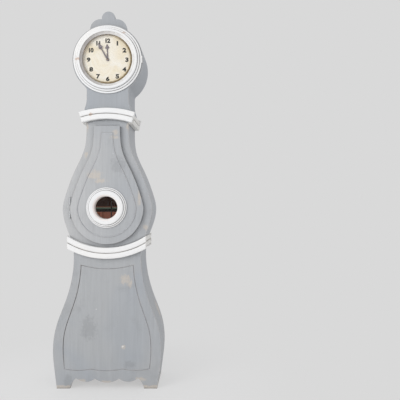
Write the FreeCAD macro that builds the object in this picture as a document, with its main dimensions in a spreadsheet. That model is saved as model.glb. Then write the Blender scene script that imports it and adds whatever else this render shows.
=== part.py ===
import FreeCAD, Part
import math
import os
import Sketcher

# Longcase clock with a pear-shaped trunk, a round head and a flared base.
# Millimetres. +Z is up, the front faces -Y, +X is to the right of someone facing it.
# The origin is on the floor, at the middle of the clock's whole width and depth.

# Driving dimensions
SIZES = {
    # boards
    "case_depth": 230.0,
    "front_board": 18.0,
    "back_board": 12.0,
    "side_board": 18.0,
    # base outline, from the floor up: rises from point to point, and half widths
    "foot_half_width": 265.0,
    "ankle_rise": 100.0,
    "ankle_half_width": 278.0,
    "swell_rise": 100.0,
    "swell_half_width": 286.0,
    "calf_rise": 127.0,
    "calf_half_width": 269.0,
    "hip_rise": 128.0,
    "hip_half_width": 222.0,
    "shin_rise": 127.0,
    "shin_half_width": 187.0,
    "waist_rise": 108.0,
    "waist_half_width": 177.0,
    "waist_joint_half_width": 181.0,
    # trunk outline, from the waist moulding up
    "belly_rise": 240.0,
    "belly_lower_drop": 119.0,
    "belly_lower_half_width": 211.0,
    "belly_half_width": 236.0,
    "breast_rise": 72.0,
    "breast_half_width": 220.0,
    "collar_rise": 127.0,
    "collar_half_width": 172.0,
    "shoulder_rise": 127.0,
    "shoulder_half_width": 119.0,
    "neck_rise": 64.0,
    "neck_half_width": 112.0,
    # head outline
    "neck_moulding_rise": 107.0,
    "head_rise": 290.0,
    "head_radius": 187.0,
    "throat_half_width": 111.0,
    "throat_fillet": 25.0,
    "flare_half_width": 122.0,
    "flare_rise": 30.0,
    "flare_length": 53.0,
    # feet and apron
    "foot_width": 69.0,
    "foot_taper": 31.0,
    "apron_peak": 54.0,
    "apron_lobe": 35.0,
    "apron_middle_lobe": 31.0,
    "apron_cusp": 51.0,
    # mouldings
    "moulding_height": 58.0,
    "moulding_projection": 26.0,
    "moulding_edge": 19.0,
    "moulding_groove": 3.0,
    "moulding_groove_depth": 5.0,
    "waist_moulding_rise": 25.0,
    "waist_moulding_radius": 400.0,
    "waist_moulding_half_length": 206.0,
    "neck_moulding_radius": 458.0,
    "neck_moulding_half_length": 139.0,
    # groove carved round the base's front
    "groove_width": 4.0,
    "groove_depth": 3.0,
    "groove_top_inset": 38.0,
    "groove_swell_inset": 52.0,
    "groove_top_drop": 37.0,
    "groove_sag": 20.0,
    "groove_rise": 78.0,
    # crest
    "crest_thickness": 20.0,
    "crest_setback": 2.0,
    "crest_half_width": 99.0,
    "crest_shoulder_rise": 38.0,
    "crest_lobe_radius": 36.0,
    "crest_rise": 79.0,
    "crest_side_radius": 56.0,
    # trunk door
    "door_gap": 0.8,
    "door_thickness": 18.0,
    "door_inset": 43.5,
    "door_top_rise": 431.0,
    "door_overlap": 20.0,
    "field_inset": 37.0,
    "field_rise": 2.5,
    # window in the door
    "window_ring_radius": 106.0,
    "window_hole_radius": 78.0,
    "window_sight_radius": 58.0,
    "window_ring_height": 20.0,
    "window_crest_radius": 82.0,
    "window_inner_crest_radius": 66.0,
    "window_bead_width": 6.0,
    "window_bead_rise": 6.0,
    "bead_chamfer": 1.5,
    "window_glass_radius": 66.0,
    "glass_thickness": 2.5,
    "glass_clearance": 0.5,
    "retainer_thickness": 3.0,
    # bezel door and dial
    "bezel_radius": 181.0,
    "bezel_height": 19.0,
    "bezel_sight_radius": 132.0,
    "bezel_front_radius": 146.0,
    "bezel_crest_radius": 153.0,
    "bezel_bead_width": 5.5,
    "bezel_bead_rise": 3.5,
    "ring_wall_step": 2.0,
    "bezel_glass_radius": 139.0,
    "bezel_lip_depth": 9.0,
    "dial_radius": 150.0,
    "dial_clearance": 1.5,
    "dial_recess": 4.0,
    "dial_thickness": 1.5,
    "dial_hole_radius": 6.5,
    # hinges
    "hinge_length": 36.0,
    "hinge_spacing": 70.0,
    "knuckle_radius": 4.0,
    "hinge_pin_radius": 1.5,
    "pin_clearance": 0.05,
    "hinge_gap": 0.5,
    "leaf_thickness": 1.5,
    "leaf_width": 26.0,
    "leaf_proud": 0.4,
    "leaf_tab_rise": 1.2,
    "mortise_clearance": 0.2,
    # movement
    "motion_work_space": 22.0,
    "plate_thickness": 3.0,
    "plate_spacing": 48.0,
    "plate_half_width": 55.0,
    "pillar_radius": 4.0,
    "pillar_inset": 10.0,
    "plate_margin": 14.0,
    "arbor_radius": 2.5,
    "arbor_clearance": 0.05,
    "pivot_radius": 1.5,
    "wheel_thickness": 2.5,
    "great_wheel_module": 1.15,
    "great_wheel_clearance": 6.25,
    "centre_wheel_module": 1.0,
    "third_wheel_module": 0.9,
    "motion_module": 1.0,
    "escape_radius": 20.0,
    "pallet_clearance": 0.25,
    "pinion_length": 8.0,
    "cannon_radius": 3.4,
    "hour_pipe_radius": 4.8,
    "pipe_clearance": 0.08,
    # hands
    "hour_hand_length": 84.0,
    "minute_hand_length": 104.0,
    "hand_boss_radius": 8.0,
    "hand_root_width": 6.5,
    "hand_shaft_width": 4.2,
    "hour_tip_width": 19.0,
    "minute_tip_width": 22.0,
    "hand_tip_length": 24.0,
    "hand_thickness": 1.2,
    "hand_spacing": 1.5,
    # seat board, bottom board and batten
    "seat_thickness": 18.0,
    "seat_half_width": 91.0,
    "seat_depth": 127.0,
    "cleat_height": 40.0,
    "cleat_width": 20.0,
    "board_clearance": 0.3,
    "bottom_board_height": 62.0,
    "bottom_board_thickness": 15.0,
    "batten_height": 26.0,
    "batten_thickness": 12.0,
    # pendulum
    "pendulum_length": 1003.0,
    "pendulum_setback": 25.0,
    "rod_radius": 3.0,
    "bob_radius": 55.0,
    "bob_thickness": 26.0,
    "bob_shoulder_radius": 34.0,
    "bob_shoulder_thickness": 19.0,
    "bob_edge_thickness": 6.0,
    "nut_radius": 9.0,
    "nut_height": 8.0,
    "spring_length": 60.0,
    "spring_width": 10.0,
    "spring_thickness": 0.5,
    "crutch_length": 105.0,
    "fork_clearance": 0.2,
    "cock_width": 36.0,
    "cock_height": 12.0,
    # line drum
    "drum_radius": 28.0,
    "drum_flange_radius": 34.0,
    "drum_width": 16.0,
    "drum_flange": 2.0,
    # one overrun for all cuts
    "overrun": 30.0,
}

# Teeth
GREAT_TEETH = 96
CENTRE_TEETH = 60
THIRD_TEETH = 64
ESCAPE_TEETH = 30
PINION_LEAVES = 8
CANNON_TEETH = 10
MINUTE_TEETH = 30
MINUTE_PINION_LEAVES = 8
HOUR_TEETH = 32

# Tooth forms: widths as shares of the pitch, heights as shares of the module
WHEEL_BASE_SHARE, WHEEL_TIP_SHARE, WHEEL_RISE_SHARE = 0.44, 0.2, 0.75
LEAF_BASE_SHARE, LEAF_TIP_SHARE, LEAF_RISE_SHARE = 0.28, 0.2, 0.62
TOOTH_FALL_SHARE = 1.15
# Rim and arms, as shares of a wheel's root radius
RIM_SHARE, ARM_SHARE = 0.86, 0.09
# Hubs, as shares of the arbor's radius
HUB_SHARE, ESCAPE_HUB_SHARE = 2, 1.6
# Escape wheel: root radius as a share of the tip radius, and the teeth as shares of the pitch
ESCAPE_ROOT_SHARE = 0.82
ESCAPE_LEAN_SHARE, ESCAPE_WIDTH_SHARE, ESCAPE_TURN_SHARE = 0.35, 0.16, 0.25
WHEEL_ARMS = 4
# Places along the arbors, as shares of the space between the plates or of a wheel's thickness
THIRD_WHEEL_SHARE = 0.42
CANNON_LENGTH_SHARE, HOUR_WHEEL_SHARE = 1.6, 1.8
MINUTE_WHEEL_SHARE, MINUTE_LEAF_SHARE = 0.3, 2.4
HAND_NUT_SHARE = 2.6
# The minute hand's boss and the hand nut, as shares of the hour hand's boss
MINUTE_BOSS_SHARE, SMALL_NUT_SHARE = 0.85, 0.6
# Turned pillars: stations along the length, and radii of the collars and the waist
PILLAR_SHARES = (0, 0.1, 0.16, 0.84, 0.9, 1)
COLLAR_SHARE, PILLAR_WAIST_SHARE = 1.35, 0.8
# The apron's lobes and cusps, as shares of its half length, and their depth in the groove
LOBE_SHARE, CUSP_SHARE = 0.64, 0.38
GROOVE_LOBE_SHARE = 0.45
# How far the foot's inner edge and the head's flare bow, as shares of their own width
FOOT_BOW_SHARE, FLARE_BOW_SHARE = 0.33, 0.25
# How deep a side moulding's section reaches, as a share of the case's depth
RETURN_DEPTH_SHARE = 0.33
# The anchor: how wide its pallets reach, how far it swings, and its thicknesses
PALLET_SPAN_DEGREES = 45
PENDULUM_SWING_DEGREES = 2.5
NIB_SHARE, ANCHOR_WEB_SHARE = 0.055, 0.14
PIN_HEAD_SHARE, NUT_WAIST_SHARE = 0.7, 0.7
# Threaded end under the bob, as a share of the rating nut's height
ROD_END_SHARE = 2.5
# Three knuckles to a hinge: the leaf on the case has the outer two
KNUCKLES = 3

doc = FreeCAD.newDocument("LongcaseClock")
sheet = doc.addObject("Spreadsheet::Sheet", "Sizes")
for row, (alias, number) in enumerate(SIZES.items(), start=1):
    sheet.set(f"A{row}", alias)
    sheet.set(f"B{row}", str(number))
    sheet.setAlias(f"B{row}", alias)
doc.recompute()


class Size:
    """A number from the sheet, with the expression that gives it."""

    def __init__(self, number, text):
        self.number = number
        self.text = text

    def __float__(self):
        return self.number

    def __add__(self, other):
        other = as_size(other)
        return Size(self.number + other.number, f"({self.text} + {other.text})")

    def __sub__(self, other):
        other = as_size(other)
        return Size(self.number - other.number, f"({self.text} - {other.text})")

    def __mul__(self, factor):
        return Size(self.number * factor, f"({self.text} * {factor})")

    def __radd__(self, other):
        return as_size(other) + self

    def __rsub__(self, other):
        return as_size(other) - self

    def __truediv__(self, divisor):
        return Size(self.number / divisor, f"({self.text} / {divisor})")

    def __neg__(self):
        return Size(-self.number, f"(0 - {self.text})")


def as_size(value):
    return value if isinstance(value, Size) else Size(float(value), repr(float(value)))


class Sheet:
    """Gives each alias of the sheet as a Size."""

    def __getattr__(self, alias):
        return Size(float(sheet.get(alias)), f"Sizes.{alias}")


S = Sheet()
ZERO = as_size(0)
NODES = []


def vec(x, y, z):
    return FreeCAD.Vector(float(x), float(y), float(z))


X_AXIS = vec(1, 0, 0)
Y_AXIS = vec(0, 1, 0)
Z_AXIS = vec(0, 0, 1)
FACING = FreeCAD.Rotation(Z_AXIS, 180)


# Stations: heights up the clock, and depths along Y (minus is towards the viewer)
SWELL_Z = S.ankle_rise + S.swell_rise
CALF_Z = SWELL_Z + S.calf_rise
HIP_Z = CALF_Z + S.hip_rise
SHIN_Z = HIP_Z + S.shin_rise
WAIST_Z = SHIN_Z + S.waist_rise
WAIST_MOULDING_Z = WAIST_Z + S.waist_moulding_rise
BELLY_Z = WAIST_MOULDING_Z + S.belly_rise
BREAST_Z = BELLY_Z + S.breast_rise
COLLAR_Z = BREAST_Z + S.collar_rise
SHOULDER_Z = COLLAR_Z + S.shoulder_rise
NECK_Z = SHOULDER_Z + S.neck_rise
NECK_MOULDING_Z = NECK_Z + S.neck_moulding_rise
HEAD_Z = NECK_MOULDING_Z + S.head_rise
FLARE_Z = NECK_MOULDING_Z + S.flare_rise

FRONT_REACH = S.door_gap + S.door_thickness + S.field_rise + S.window_ring_height
FRONT_Y = -((S.case_depth + S.moulding_projection - FRONT_REACH) / 2)
FRONT_INNER_Y = FRONT_Y + S.front_board
BACK_Y = FRONT_Y + S.case_depth
BACK_INNER_Y = BACK_Y - S.back_board
DOOR_BACK_Y = FRONT_Y - S.door_gap
DIAL_FRONT_Y = FRONT_Y + S.dial_recess
DIAL_BACK_Y = DIAL_FRONT_Y + S.dial_thickness
FRONT_PLATE_Y = DIAL_BACK_Y + S.motion_work_space
TRAIN_Y = FRONT_PLATE_Y + S.plate_thickness
BACK_PLATE_Y = TRAIN_Y + S.plate_spacing
BACK_PLATE_BACK_Y = BACK_PLATE_Y + S.plate_thickness
PENDULUM_Y = BACK_PLATE_BACK_Y + S.pendulum_setback

GREAT_Z = HEAD_Z - S.great_wheel_module * ((GREAT_TEETH + PINION_LEAVES) / 2)
THIRD_Z = HEAD_Z + S.centre_wheel_module * ((CENTRE_TEETH + PINION_LEAVES) / 2)
ESCAPE_Z = THIRD_Z + S.third_wheel_module * ((THIRD_TEETH + PINION_LEAVES) / 2)
PIVOT_Z = ESCAPE_Z + S.escape_radius * math.sqrt(2)
PLATE_TOP_Z = PIVOT_Z + S.plate_margin
SEAT_TOP_Z = GREAT_Z - S.great_wheel_module * (GREAT_TEETH / 2) - S.great_wheel_clearance
DRUM_Y = TRAIN_Y + S.plate_spacing / 2


# Helpers for bodies made from sketches


def plane_of(body, role):
    return [item for item in body.Origin.OriginFeatures if item.Role == role][0]


def fix_along(sketch, kind, axis_id, geometry, end, size):
    """Ties one coordinate of a point to an expression, or to the axis where it is zero."""
    if abs(size.number) < Part.Precision.confusion():
        sketch.addConstraint(Sketcher.Constraint("PointOnObject", geometry, end, axis_id))
        return
    index = sketch.addConstraint(Sketcher.Constraint(kind, -1, 1, geometry, end, size.number))
    sketch.setExpression(f"Constraints[{index}]", size.text)


def fix_point(sketch, geometry, end, x, y):
    fix_along(sketch, "DistanceX", -2, geometry, end, x)
    fix_along(sketch, "DistanceY", -1, geometry, end, y)


def arc_centre(start, end, axis, coordinate):
    """Centre of an arc from start to end, where one coordinate of the centre is given."""
    middle = (start + end) * 0.5
    normal = vec(start.y - end.y, end.x - start.x, 0)
    if axis == "x":
        return middle + normal * ((float(coordinate) - middle.x) / normal.x)
    return middle + normal * ((float(coordinate) - middle.y) / normal.y)


def add_outline(sketch, points):
    """Closed outline. A point is (x, y), or (x, y, axis, centre, turn) for an arc that ends there."""
    points = [tuple(as_size(v) if not isinstance(v, str) else v for v in point[:4]) + point[4:]
              for point in points]
    ends = []
    for index, target in enumerate(points):
        source = points[index - 1]
        start = vec(source[0], source[1], 0)
        end = vec(target[0], target[1], 0)
        if len(target) == 2:
            geometry = sketch.addGeometry(Part.LineSegment(start, end))
            ends.append((geometry, 1, 2))
            continue
        centre = arc_centre(start, end, target[2], target[3])
        circle = Part.Circle(centre, Z_AXIS, (start - centre).Length)
        first, last = (start, end) if target[4] > 0 else (end, start)
        angles = [math.atan2(p.y - centre.y, p.x - centre.x) for p in (first, last)]
        geometry = sketch.addGeometry(Part.ArcOfCircle(circle, angles[0], angles[1]))
        ends.append((geometry, 1, 2) if target[4] > 0 else (geometry, 2, 1))
        kind, axis_id = ("DistanceX", -2) if target[2] == "x" else ("DistanceY", -1)
        fix_along(sketch, kind, axis_id, geometry, 3, target[3])
    for index, (geometry, _, last_end) in enumerate(ends):
        following, first_end, _ = ends[(index + 1) % len(ends)]
        sketch.addConstraint(
            Sketcher.Constraint("Coincident", geometry, last_end, following, first_end))
        fix_point(sketch, geometry, last_end, points[index][0], points[index][1])


def add_circle(sketch, x, y, radius):
    x, y = as_size(x), as_size(y)
    geometry = sketch.addGeometry(Part.Circle(vec(x, y, 0), Z_AXIS, float(radius)))
    fix_point(sketch, geometry, 3, x, y)
    index = sketch.addConstraint(Sketcher.Constraint("Radius", geometry, float(radius)))
    sketch.setExpression(f"Constraints[{index}]", radius.text)


def box_outline(left, right, low, high):
    return [(left, low), (right, low), (right, high), (left, high)]


def new_body(label, x=ZERO, y=ZERO, z=ZERO, rotation=FreeCAD.Rotation()):
    body = doc.addObject("PartDesign::Body", label)
    put(body, x, y, z, rotation)
    NODES.append(body)
    return body


def put(item, x, y, z, rotation=FreeCAD.Rotation()):
    x, y, z = as_size(x), as_size(y), as_size(z)
    item.Placement = FreeCAD.Placement(vec(x, y, z), rotation)
    for name, size in (("x", x), ("y", y), ("z", z)):
        if size.text.startswith(("(", "Sizes")):
            item.setExpression(f"Placement.Base.{name}", size.text)


def new_sketch(body, role, outlines=(), circles=()):
    sketch = body.newObject("Sketcher::SketchObject", body.Name + "_sketch")
    sketch.AttachmentSupport = [(plane_of(body, role), "")]
    sketch.MapMode = "FlatFace"
    for outline in outlines:
        add_outline(sketch, outline)
    for circle in circles:
        add_circle(sketch, *circle)
    return sketch


def pad(body, thickness, outlines=(), circles=(), role="XZ_Plane", backwards=False, middle=False):
    """Pad from a sketch. On the XZ plane it grows towards the viewer."""
    feature = body.newObject("PartDesign::Pad", body.Name + "_pad")
    feature.Profile = new_sketch(body, role, outlines, circles)
    feature.setExpression("Length", thickness.text)
    feature.Reversed = backwards
    feature.Midplane = middle
    doc.recompute()
    return feature


def pocket(body, depth, outlines=(), circles=(), role="XZ_Plane", backwards=False, middle=False):
    """Pocket from a sketch, checked to have cut something."""
    before = body.Shape.Volume
    feature = body.newObject("PartDesign::Pocket", body.Name + "_pocket")
    feature.Profile = new_sketch(body, role, outlines, circles)
    feature.setExpression("Length", depth.text)
    feature.Reversed = backwards
    feature.Midplane = middle
    doc.recompute()
    if body.Shape.Volume >= before:
        raise ValueError(f"a pocket in {body.Label} cut nothing")
    return feature


def turn(body, outline, role="XY_Plane"):
    """Solid of revolution about the sketch's upright axis."""
    feature = body.newObject("PartDesign::Revolution", body.Name + "_turning")
    sketch = new_sketch(body, role, [outline])
    feature.Profile = sketch
    feature.ReferenceAxis = (sketch, ["V_Axis"])
    feature.Angle = 360
    doc.recompute()
    return feature


def add_node(label, shape):
    """A node whose shape is made with curves that no sketch or primitive gives."""
    item = doc.addObject("Part::Feature", label)
    item.Shape = shape
    NODES.append(item)
    return item


def block(x0, x1, y0, y1, z0, z1):
    size = vec(x1, y1, z1) - vec(x0, y0, z0)
    return Part.makeBox(size.x, size.y, size.z, vec(x0, y0, z0))


def rod(radius, start, end):
    return Part.makeCylinder(float(radius), (end - start).Length, start, end - start)


# Outlines of the case, drawn in the plane y = 0


def smooth(points):
    curve = Part.BSplineCurve()
    curve.interpolate([vec(x, 0, z) for x, z in points])
    return curve


def arch_z(x, middle_z, radius, up):
    """Height at x of a wide arc whose middle is at middle_z: arched up, or hanging down."""
    sag = float(radius) - math.sqrt(float(radius) ** 2 - float(x) ** 2)
    return float(middle_z) - up * sag


def waist_joint_z(x):
    return arch_z(x, WAIST_MOULDING_Z, S.waist_moulding_radius, -1)


def neck_joint_z(x):
    return arch_z(x, NECK_MOULDING_Z, S.neck_moulding_radius, 1)


WAIST_SIDE_Z = waist_joint_z(S.waist_joint_half_width)
NECK_SIDE_Z = neck_joint_z(S.flare_half_width)

BASE_CURVE = smooth([
    (S.foot_half_width, 0),
    (S.ankle_half_width, S.ankle_rise),
    (S.swell_half_width, SWELL_Z),
    (S.calf_half_width, CALF_Z),
    (S.hip_half_width, HIP_Z),
    (S.shin_half_width, SHIN_Z),
    (S.waist_half_width, WAIST_Z),
    (S.waist_joint_half_width, WAIST_SIDE_Z),
])
TRUNK_CURVE = smooth([
    (S.waist_joint_half_width, WAIST_SIDE_Z),
    (S.belly_lower_half_width, BELLY_Z - S.belly_lower_drop),
    (S.belly_half_width, BELLY_Z),
    (S.breast_half_width, BREAST_Z),
    (S.collar_half_width, COLLAR_Z),
    (S.shoulder_half_width, SHOULDER_Z),
    (S.neck_half_width, NECK_Z),
    (S.neck_half_width, neck_joint_z(S.neck_half_width)),
])


def point_at(curve, z):
    """Point of a rising curve at a height, and its outward normal."""
    low, high = curve.FirstParameter, curve.LastParameter
    while high - low > Part.Precision.confusion():
        middle = (low + high) / 2
        if curve.value(middle).z < float(z):
            low = middle
        else:
            high = middle
    tangent = curve.tangent(low)[0]
    return curve.value(low), vec(tangent.z, 0, -tangent.x)


def inner_points(curve, low, high, inset, steps=9):
    """Points of the parallel to a curve, an inset inside it, at even heights."""
    points = []
    for step in range(steps + 1):
        z = float(low) + (float(high) - float(low)) * step / steps
        point, normal = point_at(curve, z)
        share = step / steps
        start, end = inset if isinstance(inset, tuple) else (inset, inset)
        here = float(start) * (1 - share) + float(end) * share
        points.append((point.x - here / normal.x, z))
    return points


def mirrored(shape):
    return shape.mirror(vec(0, 0, 0), X_AXIS)


def line(start, end):
    return Part.LineSegment(vec(start[0], 0, start[1]), vec(end[0], 0, end[1])).toShape()


def arc(start, middle, end):
    return Part.Arc(*[vec(p[0], 0, p[1]) for p in (start, middle, end)]).toShape()


def face_of(edges):
    wire = Part.Wire(Part.__sortEdges__(edges))
    return Part.Face(wire)


def board(face, front, back):
    """Extrudes a face from the depth front to the depth back."""
    moved = face.copy()
    moved.translate(vec(0, front, 0))
    return moved.extrude(vec(0, float(back) - float(front), 0))


def joint_arc(half, height):
    return arc((-float(half), height(half)), (0, height(0)), (half, height(half)))


def apron_edges(half, lift=ZERO, depth_share=1):
    """Scalloped edge from the left to the right peak: two side lobes and a middle one."""
    half = float(half)

    def at(share, height):
        return half * share, float(height) * depth_share + float(lift)

    cusp = at(CUSP_SHARE, S.apron_cusp)
    outer = smooth([at(1, S.apron_peak), at(LOBE_SHARE, S.apron_lobe), cusp]).toShape()
    middle = arc(cusp, at(0, S.apron_middle_lobe), (-cusp[0], cusp[1]))
    return [outer, middle, mirrored(outer)]


def base_face():
    foot_inner = S.foot_half_width - S.foot_width
    peak = foot_inner - S.foot_taper
    side = BASE_CURVE.toShape()
    foot = line((S.foot_half_width, 0), (foot_inner, 0))
    foot_edge = arc((foot_inner, 0), (foot_inner - S.foot_taper * FOOT_BOW_SHARE, S.apron_peak / 2),
                    (peak, S.apron_peak))
    right = [side, foot, foot_edge]
    edges = right + [mirrored(edge) for edge in right] + apron_edges(peak)
    return face_of(edges + [joint_arc(S.waist_joint_half_width, waist_joint_z)])


def trunk_face():
    side = TRUNK_CURVE.toShape()
    return face_of([side, mirrored(side), joint_arc(S.waist_joint_half_width, waist_joint_z),
                    joint_arc(S.neck_half_width, neck_joint_z)])


def head_edges(inset=ZERO):
    """Right half of the head's outline from the neck joint to the top, or its parallel inside."""
    radius = float(S.head_radius - inset)
    throat = float(S.throat_half_width - inset)
    fillet = float(S.throat_fillet + inset)
    centre_z = float(HEAD_Z)
    reach = float(S.head_radius + S.throat_fillet)
    fillet_drop = math.sqrt(reach ** 2 - float(S.throat_half_width + S.throat_fillet) ** 2)
    fillet_x = throat + fillet
    fillet_z = centre_z - fillet_drop
    meet_x = fillet_x * radius / reach
    meet_z = centre_z - fillet_drop * radius / reach
    turn_half = math.atan2(fillet_drop, fillet_x) / 2
    fillet_middle = (fillet_x - fillet * math.cos(turn_half), fillet_z + fillet * math.sin(turn_half))
    edges = []
    if float(inset) == 0:
        flare_top = float(FLARE_Z + S.flare_length)
        flare_wide = float(S.flare_half_width)
        bow = (flare_wide - throat) * FLARE_BOW_SHARE
        edges.append(line((flare_wide, NECK_SIDE_Z), (flare_wide, FLARE_Z)))
        edges.append(arc((flare_wide, FLARE_Z), (throat + bow, (float(FLARE_Z) + flare_top) / 2),
                         (throat, flare_top)))
        edges.append(line((throat, flare_top), (throat, fillet_z)))
    else:
        edges.append(line((throat, neck_joint_z(throat)), (throat, fillet_z)))
    edges.append(arc((throat, fillet_z), fillet_middle, (meet_x, meet_z)))
    edges.append(arc((meet_x, meet_z), (radius, centre_z), (0, centre_z + radius)))
    return edges


def head_face():
    right = head_edges()
    edges = right + [mirrored(edge) for edge in right]
    return face_of(edges + [joint_arc(S.flare_half_width, neck_joint_z)])


def inner_joint_point(curve, joint):
    """Where the inner face of a side board meets a joint between two levels of the case."""
    x = point_at(curve, joint(0))[0].x
    for _ in range(12):
        x = inner_points(curve, joint(x), joint(x), S.side_board, 1)[0][0]
    return x, joint(x)


def joint_part(near, far, joint):
    middle = (float(near) + float(far)) / 2
    return arc((near, joint(near)), (middle, joint(middle)), (far, joint(far)))


def base_side_face():
    """Section of a base side board, between the outer curve and the parallel inside it."""
    top_x, top_z = inner_joint_point(BASE_CURVE, waist_joint_z)
    inside = inner_points(BASE_CURVE, ZERO, top_z, S.side_board)
    return face_of([
        BASE_CURVE.toShape(),
        smooth(inside).toShape(),
        line((S.foot_half_width, 0), inside[0]),
        joint_part(inside[-1][0], S.waist_joint_half_width, waist_joint_z),
    ])


def trunk_side_face():
    low = inner_joint_point(TRUNK_CURVE, waist_joint_z)[1]
    high = inner_joint_point(TRUNK_CURVE, neck_joint_z)[1]
    inside = inner_points(TRUNK_CURVE, low, high, S.side_board, 12)
    return face_of([
        TRUNK_CURVE.toShape(),
        smooth(inside).toShape(),
        joint_part(inside[0][0], S.waist_joint_half_width, waist_joint_z),
        joint_part(inside[-1][0], S.neck_half_width, neck_joint_z),
    ])


def head_side_face():
    outer = head_edges()
    inner = head_edges(S.side_board)
    throat_inner = S.throat_half_width - S.side_board
    return face_of(outer + inner + [
        joint_part(throat_inner, S.flare_half_width, neck_joint_z),
        line((0, HEAD_Z + S.head_radius), (0, HEAD_Z + S.head_radius - S.side_board)),
    ])


def pear_face(inset, top_z):
    """Pear outline parallel to the trunk: round below the belly's widest line."""
    points = inner_points(TRUNK_CURVE, BELLY_Z, top_z, inset)
    radius = points[0][0]
    right = smooth(points).toShape()
    bottom = arc((radius, BELLY_Z), (0, float(BELLY_Z) - radius), (-radius, BELLY_Z))
    top = line(points[-1], (-points[-1][0], points[-1][1]))
    return face_of([right, mirrored(right), bottom, top])


# Case boards


def make_boards():
    opening = pear_face(S.door_inset + S.door_overlap, BELLY_Z + S.door_top_rise - S.door_overlap)
    reach = S.overrun
    cut_out = board(opening, FRONT_Y - reach, FRONT_INNER_Y + reach)
    dial_hole = rod(S.dial_radius + S.dial_clearance, vec(0, FRONT_Y - reach, HEAD_Z),
                    vec(0, FRONT_INNER_Y + reach, HEAD_Z))
    hinge_cuts = Part.makeCompound([fixed_mortise(*place) for place in hinge_places()])
    add_node("base_front_board", board(base_face(), FRONT_Y, FRONT_INNER_Y).cut(base_groove()))
    trunk_front = board(trunk_face(), FRONT_Y, FRONT_INNER_Y).cut(cut_out).cut(hinge_cuts)
    add_node("trunk_front_board", trunk_front)
    head_front = board(head_face(), FRONT_Y, FRONT_INNER_Y).cut(dial_hole).cut(hinge_cuts)
    add_node("head_front_board", head_front)
    add_node("base_back_board", board(base_face(), BACK_INNER_Y, BACK_Y))
    add_node("trunk_back_board", board(trunk_face(), BACK_INNER_Y, BACK_Y))
    add_node("head_back_board", board(head_face(), BACK_INNER_Y, BACK_Y))
    sides = (
        ("base_side", base_side_face()),
        ("trunk_side", trunk_side_face()),
        ("head_side", head_side_face()),
    )
    for name, face in sides:
        right = board(face, FRONT_INNER_Y, BACK_INNER_Y)
        add_node(f"{name}_right", right)
        add_node(f"{name}_left", mirrored(right))


def base_groove():
    """Groove that follows the base's sides and apron, and sags at the top like the moulding."""
    outer = groove_face(ZERO)
    inner = groove_face(S.groove_width)
    return board(outer.cut(inner), FRONT_Y, FRONT_Y + S.groove_depth)


def groove_face(inset):
    """Area inside one edge of the groove."""
    low = float(S.apron_peak * GROOVE_LOBE_SHARE + S.groove_rise + inset)
    high = float(WAIST_Z - S.groove_top_drop - inset)
    swell_inset, top_inset = S.groove_swell_inset + inset, S.groove_top_inset + inset
    lower = inner_points(BASE_CURVE, low, SWELL_Z, swell_inset, 2)
    upper = inner_points(BASE_CURVE, SWELL_Z, high, (swell_inset, top_inset), 5)
    right = smooth(lower + upper[1:]).toShape()
    end = upper[-1]
    top = arc(end, (0, high - float(S.groove_sag)), (-end[0], high))
    apron = apron_edges(lower[0][0], S.groove_rise + inset, GROOVE_LOBE_SHARE)
    return face_of([right, mirrored(right), top] + apron)


def make_crest():
    """Round middle lobe between two side lobes, standing on the round head."""
    head = S.head_radius
    half = S.crest_half_width
    foot = math.sqrt(head.number ** 2 - half.number ** 2)
    foot_size = Size(foot, f"sqrt({head.text} ^ 2 - {half.text} ^ 2)")
    shoulder = head + S.crest_shoulder_rise
    side = S.crest_side_radius
    lobe = S.crest_lobe_radius
    lobe_centre = head + S.crest_rise - lobe
    body = new_body("crest", ZERO, FRONT_INNER_Y + S.crest_setback + S.crest_thickness, HEAD_Z)
    pad(body, S.crest_thickness, [[
        (-half, foot_size),
        (half, foot_size, "y", ZERO, -1),
        (half, shoulder - side),
        (half - side, shoulder, "x", half - side, 1),
        (lobe, shoulder),
        (lobe, lobe_centre),
        (-lobe, lobe_centre, "y", lobe_centre, 1),
        (-lobe, shoulder),
        (side - half, shoulder),
        (-half, shoulder - side, "x", side - half, 1),
    ]])


# Mouldings


def moulding_section(height_middle, nose_y, back_y):
    """Double-banded section in the plane x = 0, its nose towards -Y."""
    half = float(S.moulding_height) / 2
    groove = float(S.moulding_groove) / 2
    nose = float(nose_y)
    edge = nose + float(S.moulding_projection - S.moulding_edge)
    floor = edge + float(S.moulding_groove_depth)
    middle = float(height_middle)

    def at(y, z):
        return vec(0, y, middle + z)

    band = (half + groove) / 2
    edges = []
    for side in (-1, 1):
        edges.append(Part.LineSegment(at(back_y, side * half), at(edge, side * half)).toShape())
        edges.append(Part.Arc(at(edge, side * half), at(nose, side * band),
                              at(edge, side * groove)).toShape())
        edges.append(Part.LineSegment(at(edge, side * groove), at(floor, side * groove)).toShape())
    edges.append(Part.LineSegment(at(floor, -groove), at(floor, groove)).toShape())
    edges.append(Part.LineSegment(at(back_y, -half), at(back_y, half)).toShape())
    return face_of(edges)


def arched_moulding(middle_z, radius, half_length, up, trimmed):
    """Front moulding bent along an arc: its ends radial, or trimmed upright."""
    section = moulding_section(middle_z, FRONT_Y - S.moulding_projection, FRONT_Y)
    centre = vec(0, 0, float(middle_z) - up * float(radius))
    spread = math.degrees(math.asin(float(half_length) / float(radius)))
    sweep = spread + (spread / 2 if trimmed else 0)
    section.rotate(centre, Y_AXIS, -sweep)
    solid = section.revolve(centre, Y_AXIS, 2 * sweep)
    if trimmed:
        half = float(half_length)
        solid = solid.common(block(-half, half, FRONT_Y - S.case_depth, FRONT_Y, 0, HEAD_Z))
    return solid


def return_moulding(middle_z, nose_x, case_solid):
    """Straight length along the right side, fitted to the side board."""
    section = moulding_section(middle_z, ZERO, S.case_depth * RETURN_DEPTH_SHARE)
    section.rotate(vec(0, 0, 0), Z_AXIS, 90)
    section.translate(vec(nose_x, FRONT_Y, 0))
    return section.extrude(vec(0, S.case_depth, 0)).cut(case_solid)


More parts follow.
